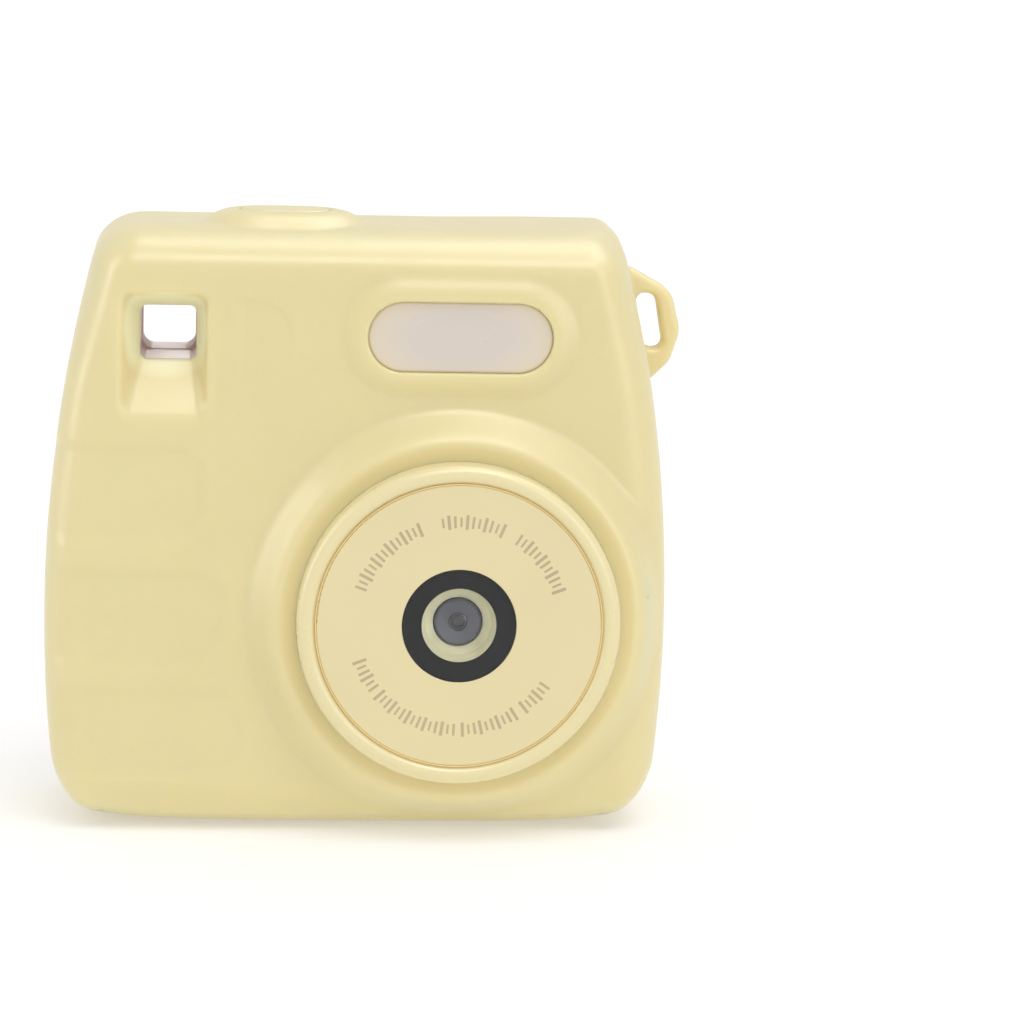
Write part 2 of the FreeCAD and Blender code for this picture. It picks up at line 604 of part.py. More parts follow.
def battery():
    return rounded_bar(6.0, 44.0, 42.0, 34.0, 2.5, 0.4, 6.2)


def battery_pad():
    return rounded_bar(6.0, 44.0, 30.0, 22.0, 1.0, 6.25, BOARD_Y0)


def wire(points, radius):
    """A round wire along straight runs joined by tangent arcs."""
    edges = []
    at = points[0]
    for before, corner, after in zip(points, points[1:], points[2:]):
        a = (before - corner)
        b = (after - corner)
        turn = math.pi - a.getAngle(b)
        run = 0.45 * min(a.Length, b.Length)
        start = corner + FreeCAD.Vector(a).normalize() * run
        end = corner + FreeCAD.Vector(b).normalize() * run
        middle_way = (FreeCAD.Vector(a).normalize() + FreeCAD.Vector(b).normalize()).normalize()
        bend = run / math.tan(turn / 2)
        middle = corner + middle_way * (bend / math.cos(turn / 2) - bend)
        edges.append(line_edge(at, start))
        edges.append(arc_edge(start, middle, end))
        at = end
    edges.append(line_edge(at, points[-1]))
    spine = Part.Wire(edges)
    way = (points[1] - points[0]).normalize()
    section = Part.Wire(Part.makeCircle(radius, points[0], way))
    return spine.makePipeShell([section], True, False)


def battery_leads():
    """Two insulated wires from the cell to the board."""
    leads = []
    for offset in (0.0, 1.4):
        leads.append(wire([vec(6 + offset, 3.3, 27.0), vec(6 + offset, 3.0, 24.4),
                           vec(6.6 + offset, 5.4, 22.4), vec(6.6 + offset, 8.5, 22.4)], 0.5))
    return Part.makeCompound(leads)


def speaker():
    body = rod(SPEAKER_RADIUS, SPEAKER_X, SPEAKER_Z, 12.0, 15.75)
    return body.cut(rod(5.8, SPEAKER_X, SPEAKER_Z, 15.0, 16.5))


def speaker_leads():
    leads = []
    for offset in (0.0, 1.4):
        leads.append(wire([vec(20.9, 13.2, 17.0 + offset), vec(23.4, 13.2, 17.0 + offset),
                           vec(24.6, 12.0, 18.6 + offset), vec(24.6, 10.1, 19.6 + offset)], 0.45))
    return Part.makeCompound(leads)


def microphone():
    return rod(2.0, MICROPHONE_X, MICROPHONE_Z, 14.0, 15.75)


def charge_lamp():
    """A clear light pipe from the board to the rear panel."""
    pipe = rod(1.0, LAMP_X, LAMP_Z, 10.3, PANEL_Y - 0.05)
    return pipe.fuse(rod(1.7, LAMP_X, LAMP_Z, 14.6, 15.7))


def display_module():
    frame = rounded_bar(SCREEN_X, SCREEN_Z, 47.0, 36.0, 0.8, 12.9, 15.3)
    return frame.cut(block(SCREEN_X - 20.4, SCREEN_X + 20.4, 15.1, 16, SCREEN_Z - 15.3, SCREEN_Z + 15.3))


def display_gasket():
    pad = rounded_bar(SCREEN_X, SCREEN_Z, 46.6, 35.6, 1.0, 15.32, 15.78)
    return pad.cut(rounded_bar(SCREEN_X, SCREEN_Z, VIEW_W + 0.6, VIEW_H + 0.6, 0.8, 15, 17))


def display_window():
    pane = rounded_bar(SCREEN_X, SCREEN_Z, SCREEN_W, SCREEN_H, 3.0, 16.42, PANEL_Y + 0.1)
    return fillet_at_y(pane, PANEL_Y + 0.1, 0.3)


def display_ribbon():
    return flat_ribbon(SCREEN_X - 6, SCREEN_X + 10, [(12.0, 38.0), (12.0, 31.2)], 0.3).fuse(
        flat_ribbon(SCREEN_X - 6, SCREEN_X + 10, [(10.25, 30.9), (12.0, 30.9)], 0.3)).fuse(
        block(SCREEN_X - 6, SCREEN_X + 10, 11.85, 12.88, 37.6, 38.15)).removeSplitter()


def usb_socket():
    shell = rounded_bar(0, 0, 8.9, 3.2, 1.55, 0, 7.2)
    shell = shell.cut(rounded_bar(0, 0, 8.3, 2.6, 1.25, -1, 6.4))
    tongue = block(-3.3, 3.3, 1.2, 6.6, -0.35, 0.35)
    socket = shell.fuse(tongue)
    socket.rotate(vec(0, 0, 0), vec(1, 0, 0), -90)
    socket.rotate(vec(0, 0, 0), vec(0, 1, 0), -90)
    return socket


def placed_usb_socket():
    """The mouth faces +X and its long side stands along Z."""
    socket = usb_socket()
    box = socket.BoundBox
    assert box.XLength > 6.9 and box.ZLength > 8.5
    socket.translate(vec(46.2 - box.XMax, USB_Y - box.Center.y, USB_Z - box.Center.z))
    return socket


def card_socket():
    body = block(31.0, 44.2, 6.5, BOARD_Y0 - 0.05, CARD_Z - 6.8, CARD_Z + 6.8)
    return body.cut(block(32.5, 50, 6.95, 7.85, CARD_Z - 5.7, CARD_Z + 5.7))


def key_switches():
    switches = []
    for x, z, _ in KEYS.values():
        body = block(x - 2.6, x + 2.6, BOARD_Y1, SWITCH_TOP, z - 2.6, z + 2.6)
        switches.append(body.cut(rod(SWITCH_WELL_RADIUS, x, z, SWITCH_TOP - 1.2, SWITCH_TOP + 1)))
    return Part.makeCompound(switches)


def rear_key(name):
    """A round key with a dished face, a retaining flange and a stem into its switch."""
    x, z, radius = KEYS[name]
    cap = rod(radius, x, z, 14.6, KEY_FACE_Y)
    cap = fillet_at_y(cap, KEY_FACE_Y, 0.45)
    dish = 30.0
    cap = cap.cut(Part.makeSphere(dish, vec(x, KEY_FACE_Y + dish - 0.22, z)))
    flange = rod(radius + 0.8, x, z, 14.5, 15.65)
    stem = rod(KEY_STEM_RADIUS, x, z, SWITCH_TOP + 0.1, 14.6)
    return join([cap, flange, stem])


# ---- writing the parts --------------------------------------------------------
def all_parts():
    parts = {
        "silicone_sleeve": silicone_sleeve(),
        "front_shell": front_shell(),
        "rear_shell": rear_shell(),
        "case_screws": case_screws(),
        "lens_ring": lens_ring(),
        "lens_screws": lens_screws(),
        "lens_plate": lens_plate(),
        "lens_window": lens_window(),
        "lens_mask_ring": lens_mask_ring(),
        "lens_well": lens_well(),
        "lens_barrel": lens_barrel(),
        "lens_glass": lens_glass(),
        "camera_module": camera_module(),
        "camera_holder": camera_holder(),
        "holder_screws": holder_screws(),
        "camera_ribbon": camera_ribbon(),
        "flash_window": flash_window(),
        "flash_reflector": flash_reflector(),
        "flash_leds": flash_leds(),
        "flash_board": flash_board(),
        "shutter_button": shutter_button(),
        "shutter_switch": shutter_switch(),
        "shutter_board": shutter_board(),
        "main_board": main_board(),
        "board_chips": board_chips(),
        "board_screws": board_screws(),
        "battery": battery(),
        "battery_pad": battery_pad(),
        "battery_leads": battery_leads(),
        "speaker": speaker(),
        "speaker_leads": speaker_leads(),
        "microphone": microphone(),
        "charge_lamp": charge_lamp(),
        "display_module": display_module(),
        "display_gasket": display_gasket(),
        "display_window": display_window(),
        "display_ribbon": display_ribbon(),
        "usb_socket": placed_usb_socket(),
        "card_socket": card_socket(),
        "key_switches": key_switches(),
    }
    for name in KEYS:
        parts[name] = rear_key(name)
    return parts


def main():
    os.makedirs("parts", exist_ok=True)
    for name, shape in all_parts().items():
        shape.exportStep("parts/" + name + ".step")
        state = "valid" if shape.isValid() else "NOT VALID"
        print(name, state, len(shape.Solids), round(shape.Volume, 1))


main()
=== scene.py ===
import json
import math

import bpy
import numpy as np
from mathutils import Matrix, Vector


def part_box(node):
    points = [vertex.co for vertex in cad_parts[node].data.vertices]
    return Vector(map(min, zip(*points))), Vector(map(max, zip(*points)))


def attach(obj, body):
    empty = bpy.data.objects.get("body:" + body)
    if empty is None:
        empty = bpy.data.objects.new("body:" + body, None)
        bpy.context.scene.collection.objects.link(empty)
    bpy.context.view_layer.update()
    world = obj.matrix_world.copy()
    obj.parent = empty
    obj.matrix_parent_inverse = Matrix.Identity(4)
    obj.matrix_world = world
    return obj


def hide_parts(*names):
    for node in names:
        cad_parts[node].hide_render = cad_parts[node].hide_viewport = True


# The looks of a children's digital camera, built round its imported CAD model.
# Blender works in metres. The shapes are written in millimetres and scaled by MM.
# x runs to the right as seen from the front, y to the back and z upward.

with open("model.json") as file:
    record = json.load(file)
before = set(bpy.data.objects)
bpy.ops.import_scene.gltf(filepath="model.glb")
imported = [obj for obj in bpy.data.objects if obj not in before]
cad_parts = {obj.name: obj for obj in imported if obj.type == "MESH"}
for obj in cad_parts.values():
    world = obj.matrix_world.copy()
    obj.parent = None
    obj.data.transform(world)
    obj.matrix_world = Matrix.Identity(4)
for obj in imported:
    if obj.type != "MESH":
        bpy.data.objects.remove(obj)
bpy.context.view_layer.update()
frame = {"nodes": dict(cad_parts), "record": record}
MM = 0.001
TINY = 1e-9
FAR = 1e9


# ---- places read from the frame -------------------------------------------------
def low_high(node):
    """A CAD node's corners in millimetres."""
    low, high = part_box(node)
    return np.array(low) / MM, np.array(high) / MM


SLEEVE_LOW, SLEEVE_HIGH = low_high("silicone_sleeve")
RING_LOW, RING_HIGH = low_high("lens_ring")
FLASH_LOW, FLASH_HIGH = low_high("flash_window")
BUTTON_LOW, BUTTON_HIGH = low_high("shutter_button")

LENS_X = (RING_LOW[0] + RING_HIGH[0]) / 2
LENS_Z = (RING_LOW[2] + RING_HIGH[2]) / 2
RING_RADIUS = (RING_HIGH[0] - RING_LOW[0]) / 2
FLASH_X = (FLASH_LOW[0] + FLASH_HIGH[0]) / 2
FLASH_Z = (FLASH_LOW[2] + FLASH_HIGH[2]) / 2
SHUTTER_X = (BUTTON_LOW[0] + BUTTON_HIGH[0]) / 2
PLATE_FRONT = low_high("lens_plate")[0][1]
CELL_FRONT = low_high("lens_glass")[0][1]

# ---- the sleeve's driving dimensions, millimetres -------------------------------
# The body: a box with bowed sides, widest at the waist
HEIGHT = 96.5
HALF_WIDTH = 49.6
RIGHT_EXTRA = 0.22
HALF_DEPTH = 18.0
SIDE_RADIUS = 232.0
WAIST_Z = 34.0
WALL = 2.0
LIP = 6.5
LIP_FRONT_Y = 12.0

# How far the bottom edge lifts, at the front and toward its ends (lift, at this x, power)
FRONT_RISE = 1.1
END_RISES = ((1.5, 47.0, 4), (0.6, 43.0, 10))
END_RISE_MOST = 3.5

# Radii of the soft edges. They are smaller at the upper back corner, beside the strap eye
SIDE_EDGE, TOP_EDGE, BOTTOM_EDGE, FRONT_EDGE, BACK_EDGE = 6.7, 5.7, 8.0, 8.0, 6.5
SIDE_SHARPER, TOP_SHARPER, BACK_SHARPER = 3.9, 3.6, 3.0
TOP_EDGE_MORE_IN_FRONT, FRONT_EDGE_MORE_ABOVE = 1.2, 4.5
EDGE_POWER = 2.2
ROUND_POWER = 2.0
CAVITY_EDGES = [6.0, 6.0, 7.6, 5.8, 4.3]
OPENING_CORNER = 7.2

# The dome round the lens and the dip beside its ring: radius, width of the slope, height
DOME_RADIUS, DOME_SLOPE, DOME_HEIGHT = 34.0, 6.0, 4.4
DIP_RADIUS, DIP_SLOPE, DIP_DEPTH = 28.6, 3.0, 0.5
RING_OVERLAP = 0.25
COLLAR_ROOM_RADII = (23.5, 30.0)
COLLAR_ROOM_Y = (-19.5, -12.0)
HOLE_BACK_Y = -10.0

# The viewfinder's square eye and the funnel in front of it
EYE_X, EYE_Z = -30.3, 79.8
EYE_HALF_W, EYE_HALF_H = 4.4, 4.3
FUNNEL_X0, FUNNEL_X1 = -37.6, -24.0
FUNNEL_Z0, FUNNEL_Z1 = 66.7, 86.6
FUNNEL_MID_X = (FUNNEL_X0 + FUNNEL_X1) / 2
FUNNEL_MID_Z = (FUNNEL_Z0 + FUNNEL_Z1) / 2
FUNNEL_DEPTH = 5.6
FUNNEL_WALL, FUNNEL_FLOOR = 1.2, 1.0
FUNNEL_CORNER, FUNNEL_CORNER_MORE = 0.9, 0.8

# The flash opening and the raised bezel round it
FLASH_HALF_W, FLASH_HALF_H = 14.57, 5.57
BEZEL_RIM = 2.4
BEZEL_Y = (-19.0, -14.0)
BEZEL_EDGES = [2.2, 1.6, 1.0]

# The shutter button and its collar
BUTTON_HALF_W, BUTTON_HALF_D = 7.3, 4.6
BUTTON_GAP = 0.08
BUTTON_HOLE_FOOT = 88.0
COLLAR_HALF_W, COLLAR_HALF_D = 10.9, 8.0
COLLAR_TOP, COLLAR_FOOT = 98.25, 92.0
COLLAR_EDGES = [3.6, 1.9, 1.0]

# The strap eye: its outline in x and z, clockwise, and its leaning slot
LOOP_OUTLINE = [(36.0, 90.0), (43.5, 90.3), (50.4, 86.5), (52.0, 80.0),
                (50.4, 75.0), (45.2, 70.0), (36.0, 69.6)]
LOOP_CORNER = 4.4
LOOP_HALF_THICK = 2.5
SLOT_X, SLOT_Z, SLOT_LEAN = 46.9, 81.6, 0.17
SLOT_HALF_W, SLOT_HALF_H, SLOT_CORNER = 1.75, 4.5, 1.6

# The finger recesses (right end, middle height, half height) and the thumb mark
GRIPS = ((-24.3, 54.8, 7.5), (-20.9, 35.1, 7.2), (-17.5, 16.4, 6.9))
GRIP_START_X = -60
GRIP_CORNER, GRIP_DEPTH, GRIP_SLOPE = 5.5, 0.36, 2.6
THUMB_X, THUMB_Z, THUMB_RADIUS, THUMB_SIDE_X = -17.2, 79.3, 6.6, -18.7
THUMB_DEPTH, THUMB_SLOPE = 0.17, 1.2

# The opening on the right for the sockets
PORT_Y = (2.6, 11.4)
PORT_Z = (33.0, 66.0)
PORT_START_X = 44.0
PORT_CORNER = 2.0


# ---- distance field helpers -----------------------------------------------------
def smooth(t):
    """An even S from 0 to 1."""
    t = np.clip(t, 0, 1)
    return t * t * (3 - 2 * t)


def fade(value, start, end):
    """0 up to the start, rising softly to 1 at the end."""
    return smooth((value - start) / (end - start))


def soft_corner(walls, radii, power):
    """Half-spaces joined by soft edges; each wall is a distance, positive outside."""
    total = 0.0
    weight = 0.0
    for wall, radius in zip(walls, radii):
        share = (np.maximum(wall + radius, 0) / radius) ** power
        total = total + share
        weight = weight + share * radius
    inside = min(float(np.min(radius)) for radius in radii)
    size = np.where(total > TINY, weight / np.maximum(total, TINY), inside)
    return (total ** (1 / power) - 1) * size


def round_cut(a, b, radius):
    """What is inside both a and b, with a rounded edge."""
    corner = np.hypot(np.maximum(a + radius, 0), np.maximum(b + radius, 0))
    return np.minimum(np.maximum(a, b), -radius) + corner


def round_join(a, b, radius):
    """What is inside a or b, with a rounded inside corner."""
    corner = np.hypot(np.maximum(radius - a, 0), np.maximum(radius - b, 0))
    return np.maximum(np.minimum(a, b), radius) - corner


def stadium(u, v, half_long, radius):
    """Distance to a slot shape that lies along u."""
    return np.hypot(np.maximum(np.abs(u) - (half_long - radius), 0), v) - radius


def rounded_box(u, v, half_u, half_v, radius):
    a = np.abs(u) - half_u + radius
    b = np.abs(v) - half_v + radius
    return np.hypot(np.maximum(a, 0), np.maximum(b, 0)) + np.minimum(np.maximum(a, b), 0) - radius


def polygon(u, v, corners):
    """Signed distance in a plane to a closed polygon."""
    best = np.full(u.shape, FAR)
    inside = np.zeros(u.shape, bool)
    for (au, av), (bu, bv) in zip(corners, corners[1:] + corners[:1]):
        eu, ev = bu - au, bv - av
        t = np.clip(((u - au) * eu + (v - av) * ev) / (eu * eu + ev * ev), 0, 1)
        best = np.minimum(best, (u - au - eu * t) ** 2 + (v - av - ev * t) ** 2)
        rise = ev if abs(ev) > TINY else TINY
        inside ^= ((av > v) != (bv > v)) & (u < au + (v - av) / rise * eu)
    return np.where(inside, -1, 1) * np.sqrt(best)


def moved_in(corners, inset):
    """A convex outline, listed clockwise, with each side moved in."""
    result = []
    for i, (bu, bv) in enumerate(corners):
        au, av = corners[i - 1]
        cu, cv = corners[(i + 1) % len(corners)]
        first = Vector((bv - av, au - bu)).normalized()
        second = Vector((cv - bv, bu - cu)).normalized()
        middle = (first + second) / (1 + first.dot(second))
        result.append((bu + middle.x * inset, bv + middle.y * inset))
    return result


# ---- the silicone sleeve --------------------------------------------------------
def from_lens(x, z):
    return np.hypot(x - LENS_X, z - LENS_Z)


def body_walls(x, z, inset):
    """Distances to the bowed side, the top and the bottom, each moved in."""
    half_width = HALF_WIDTH + np.where(x > 0, RIGHT_EXTRA, 0.0)
    side = np.hypot(np.abs(x) + SIDE_RADIUS - half_width, z - WAIST_Z) - SIDE_RADIUS + inset
    return [side, z - HEIGHT + inset, inset - z]


def front_wall(x, y, z):
    """The front face, which swells round the lens and dips again beside its ring."""
    rho = from_lens(x, z)
    t = np.clip((DOME_RADIUS - rho) / DOME_SLOPE, 0, 1)
    height = DOME_HEIGHT * smooth(t) - DIP_DEPTH * smooth((DIP_RADIUS - rho) / DIP_SLOPE)
    slope = DOME_HEIGHT / DOME_SLOPE * 6 * t * (1 - t)
    return (-HALF_DEPTH - height - y) / np.sqrt(1 + slope ** 2)


def sleeve_body(x, y, z):
    """The bowed box with its soft edges, which are largest at the front."""
    side, top, bottom = body_walls(x, z, 0.0)
    rise = sum(lift * (np.abs(x) / reach) ** power for lift, reach, power in END_RISES)
    rise = np.minimum(rise, END_RISE_MOST) + FRONT_RISE * fade(y, -4.0, -17.0)
    in_front = fade(y, -4.0, -14.0)
    below = fade(z, 15.0, 0.0)
    above = fade(z, 70.0, 88.0)
    eye_corner = fade(x, 10.0, 30.0) * fade(z, 60.0, 80.0) * fade(y, -12.0, 2.0)
    radii = [SIDE_EDGE - SIDE_SHARPER * eye_corner - below,
             TOP_EDGE + TOP_EDGE_MORE_IN_FRONT * in_front - TOP_SHARPER * eye_corner,
             BOTTOM_EDGE,
             FRONT_EDGE + FRONT_EDGE_MORE_ABOVE * above,
             BACK_EDGE - BACK_SHARPER * eye_corner]
    walls = [side, top, bottom + rise, front_wall(x, y, z), y - HALF_DEPTH]
    return soft_corner(walls, radii, EDGE_POWER)


def flash_bezel(x, y, z):
    edge = stadium(x - FLASH_X, z - FLASH_Z, FLASH_HALF_W + BEZEL_RIM, FLASH_HALF_H + BEZEL_RIM)
    return soft_corner([edge, BEZEL_Y[0] - y, y - BEZEL_Y[1]], BEZEL_EDGES, EDGE_POWER)


def shutter_collar(x, y, z):
    edge = stadium(x - SHUTTER_X, y, COLLAR_HALF_W, COLLAR_HALF_D)
    return soft_corner([edge, z - COLLAR_TOP, COLLAR_FOOT - z], COLLAR_EDGES, EDGE_POWER)


def strap_eye(x, y, z):
    ring = polygon(x, z, moved_in(LOOP_OUTLINE, LOOP_CORNER)) - LOOP_CORNER
    lean = x - SLOT_X + SLOT_LEAN * (z - SLOT_Z)
    hole = rounded_box(lean, z - SLOT_Z, SLOT_HALF_W, SLOT_HALF_H, SLOT_CORNER)
    plate = round_cut(ring, np.abs(y) - LOOP_HALF_THICK, radius=1.0)
    return round_cut(plate, -hole, radius=0.9)


def grip_marks(x, y, z):
    """How deep the finger recesses and the thumb mark sink the surface."""
    depth = 0.0
    share = fade(y, -5.0, -12.0) * fade(x, -49.4, -45.4)
    for end_x, mid_z, half_h in GRIPS:
        middle, half_w = (end_x + GRIP_START_X) / 2, (end_x - GRIP_START_X) / 2
        mark = rounded_box(x - middle, z - mid_z, half_w, half_h, GRIP_CORNER)
        depth = depth + GRIP_DEPTH * share * smooth(0.5 - mark / GRIP_SLOPE)
    thumb = np.maximum(np.hypot(x - THUMB_X, z - THUMB_Z) - THUMB_RADIUS, THUMB_SIDE_X - x)
    return depth + THUMB_DEPTH * smooth(0.5 - thumb / THUMB_SLOPE) * fade(y, -12.0, -15.0)


def eye_funnel(x, y, z):
    """The viewfinder's mouth: steep walls, a ramp below, and the square hole behind."""
    floor = -HALF_DEPTH + FUNNEL_DEPTH
    t = (floor - y) / FUNNEL_DEPTH
    left = EYE_X - EYE_HALF_W + (FUNNEL_X0 - EYE_X + EYE_HALF_W) * t - x
    right = x - (EYE_X + EYE_HALF_W + (FUNNEL_X1 - EYE_X - EYE_HALF_W) * t)
    top = z - (EYE_Z + EYE_HALF_H + (FUNNEL_Z1 - EYE_Z - EYE_HALF_H) * t)
    ramp_slope = (EYE_Z - EYE_HALF_H - FUNNEL_Z0) / FUNNEL_DEPTH
    ramp = (EYE_Z - EYE_HALF_H - ramp_slope * FUNNEL_DEPTH * t - z) / math.hypot(1, ramp_slope)
    corner = FUNNEL_CORNER + FUNNEL_CORNER_MORE * np.clip(t, 0, 1)
    walls = round_cut(left, right, radius=0.5)
    walls = round_cut(walls, top, corner)
    walls = round_cut(walls, ramp, corner)
    mouth = round_cut(walls, y - floor, radius=0.3)
    hole = rounded_box(x - EYE_X, z - EYE_Z, EYE_HALF_W, EYE_HALF_H, 1.2)
    return round_join(mouth, np.maximum(hole, floor - 0.5 - y), radius=0.3)


def outer_surface(x, y, z):
    """The sleeve's outside, still solid."""
    outer = sleeve_body(x, y, z)
    outer = round_join(outer, flash_bezel(x, y, z), radius=2.2)
    outer = round_join(outer, shutter_collar(x, y, z), radius=3.2)
    outer = round_join(outer, strap_eye(x, y, z), radius=0.9)
    return outer + grip_marks(x, y, z)


def hollowed(outer, x, y, z):
    """Takes out the room for the casing, for its lens collar, and the opening at the back."""
    side, top, bottom = body_walls(x, z, WALL)
    front, back = -HALF_DEPTH + WALL - y, y - HALF_DEPTH + WALL
    cavity = soft_corner([side, top, bottom, front, back], CAVITY_EDGES, ROUND_POWER)
    opening = soft_corner(body_walls(x, z, LIP), [OPENING_CORNER] * 3, ROUND_POWER)
    opening = np.maximum(opening, LIP_FRONT_Y - y)
    shell = np.maximum(outer, -cavity)
    shell = round_cut(shell, -opening, radius=0.7)
    rho = from_lens(x, z)
    across = np.maximum(rho - COLLAR_ROOM_RADII[1], COLLAR_ROOM_RADII[0] - rho)
    along = np.maximum(COLLAR_ROOM_Y[0] - y, y - COLLAR_ROOM_Y[1])
    return np.maximum(shell, -np.maximum(across, along))


def funnel_plug(outer, x, y, z):
    """The solid block that the viewfinder's mouth is cut from."""
    half_w = (FUNNEL_X1 - FUNNEL_X0) / 2 + FUNNEL_WALL
    half_h = (FUNNEL_Z1 - FUNNEL_Z0) / 2 + FUNNEL_WALL
    plug = rounded_box(x - FUNNEL_MID_X, z - FUNNEL_MID_Z, half_w, half_h, 1.5)
    return np.maximum(np.maximum(plug, outer), y + HALF_DEPTH - FUNNEL_DEPTH - FUNNEL_FLOOR)


def sleeve_field(x, y, z):
    """Signed distance to the whole sleeve, negative in the silicone."""
    outer = outer_surface(x, y, z)
    shell = np.minimum(hollowed(outer, x, y, z), funnel_plug(outer, x, y, z))
    lens_hole = np.maximum(from_lens(x, z) - RING_RADIUS + RING_OVERLAP, y - HOLE_BACK_Y)
    shell = np.maximum(shell, -lens_hole)
    shell = round_cut(shell, -eye_funnel(x, y, z), radius=0.8)
    flash = stadium(x - FLASH_X, z - FLASH_Z, FLASH_HALF_W, FLASH_HALF_H)
    shell = round_cut(shell, -np.maximum(flash, y - HOLE_BACK_Y), radius=0.45)
    button = stadium(x - SHUTTER_X, y, BUTTON_HALF_W + BUTTON_GAP, BUTTON_HALF_D + BUTTON_GAP)
    shell = round_cut(shell, -np.maximum(button, BUTTON_HOLE_FOOT - z), radius=0.35)
    port = rounded_box(y - sum(PORT_Y) / 2, z - sum(PORT_Z) / 2,
                       (PORT_Y[1] - PORT_Y[0]) / 2, (PORT_Z[1] - PORT_Z[0]) / 2, PORT_CORNER)
    return round_cut(shell, -np.maximum(port, PORT_START_X - x), radius=0.6)


SLICE_POINTS = 400000


def field_at(points):
    """The field at many points, a slice at a time."""
    parts = np.array_split(points, len(points) // SLICE_POINTS + 1)
    return np.concatenate([sleeve_field(*part.T) for part in parts])


def gradient_at(points, step=0.02):
    """The field's slope, by central differences."""
    slope = np.empty_like(points)
    for axis in range(3):
        shift = np.zeros(3)
        shift[axis] = step
        slope[:, axis] = (field_at(points + shift) - field_at(points - shift)) / (2 * step)
    return slope


def pull_to_surface(points, rounds, most=0.4):
    """Newton steps along the field's slope, none longer than the most allowed."""
    for _ in range(rounds):
        slope = gradient_at(points)
        size = np.maximum((slope ** 2).sum(1), 0.05)
        move = -slope * (field_at(points) / size)[:, None]
        reach = np.linalg.norm(move, axis=1, keepdims=True)
        points = points + move * np.minimum(1, most / np.maximum(reach, TINY))
    return points


CELL_CORNERS = [(i, j, k) for i in (0, 1) for j in (0, 1) for k in (0, 1)]


def cell_points(cells, value):
    """The middle of each cell's crossings, where the field changes sign along an edge."""
    total = np.zeros((len(cells), 3))
    hits = np.zeros(len(cells))
    for a in CELL_CORNERS:
        for axis in range(3):
            if a[axis]:
                continue
            b = tuple(1 if n == axis else v for n, v in enumerate(a))
            va = value[tuple((cells + a).T)]
            vb = value[tuple((cells + b).T)]
            cross = (va < 0) != (vb < 0)
            t = np.where(cross, va / np.where(cross, va - vb, 1), 0)
            place = np.tile(np.array(a, float), (len(cells), 1))
            place[:, axis] = t
            total += place * cross[:, None]
            hits += cross
    return cells + total / hits[:, None]


def quads_across(inside, index, axis):
    """A quad round each grid edge along one axis that the surface crosses."""
    u, v = (axis + 1) % 3, (axis + 2) % 3
    first = [slice(1, -1)] * 3
    first[axis] = slice(0, -1)
    second = list(first)
    second[axis] = slice(1, None)
    start, end = inside[tuple(first)], inside[tuple(second)]
    edges = np.argwhere(start != end)
    leaving = start[tuple(edges.T)]
    edges = edges + np.array([0 if n == axis else 1 for n in range(3)])
    around = []
    for du, dv in ((-1, -1), (0, -1), (0, 0), (-1, 0)):
        cell = edges.copy()
        cell[:, u] += du
        cell[:, v] += dv
        around.append(index[tuple(cell.T)])
    quad = np.stack(around, 1)
    quad[~leaving] = quad[~leaving][:, ::-1]
    return quad


def surface_net(low, high, pitch):
    """A quad mesh over the field's zero surface: one point in each cell that it crosses."""
    axes = [np.arange(low[i], high[i] + pitch, pitch) for i in range(3)]
    shape = tuple(len(a) for a in axes)
    grid = np.stack(np.meshgrid(*axes, indexing="ij"), -1).reshape(-1, 3)
    value = field_at(grid).reshape(shape)
    inside = value < 0
    count = sum(inside[tuple(slice(c, n - 1 + c) for c, n in zip(corner, shape))].astype(np.int8)
                for corner in CELL_CORNERS)
    cells = np.argwhere((count > 0) & (count < len(CELL_CORNERS)))
    index = np.full(tuple(n - 1 for n in shape), -1)
    index[tuple(cells.T)] = np.arange(len(cells))
    points = np.array([a[0] for a in axes]) + cell_points(cells, value) * pitch
    return points, np.concatenate([quads_across(inside, index, axis) for axis in range(3)])


def relax(points, quads, share=0.5):
    """Moves each point toward the middle of its neighbours."""
    total = np.zeros_like(points)
    count = np.zeros(len(points))
    for a, b in ((0, 1), (1, 2), (2, 3), (3, 0)):
        for one, other in ((quads[:, a], quads[:, b]), (quads[:, b], quads[:, a])):
            np.add.at(total, one, points[other])
            np.add.at(count, one, 1)
    return points + share * (total / count[:, None] - points)


def mesh_from(name, points, faces):
    """A new piece from points in millimetres."""
    mesh = bpy.data.meshes.new(name)
    faces = faces.tolist() if isinstance(faces, np.ndarray) else faces
    mesh.from_pydata((np.asarray(points) * MM).tolist(), [], faces)
    mesh.update()
    piece = bpy.data.objects.new(name, mesh)
    bpy.context.scene.collection.objects.link(piece)
    return piece


def apply_modifiers(piece):
    depsgraph = bpy.context.evaluated_depsgraph_get()
    mesh = bpy.data.meshes.new_from_object(piece.evaluated_get(depsgraph))
    piece.modifiers.clear()
    piece.data = mesh


def points_of(piece):
    flat = np.empty(len(piece.data.vertices) * 3)
    piece.data.vertices.foreach_get("co", flat)
    return flat.reshape(-1, 3)


SLEEVE_PITCH = 0.5
SLEEVE_TRIANGLES = 180000
SLEEVE_MARGIN = 1.3


def thin_out(piece, triangles):
    thin = piece.modifiers.new("thin", "DECIMATE")
    thin.ratio = SLEEVE_TRIANGLES / triangles
    apply_modifiers(piece)


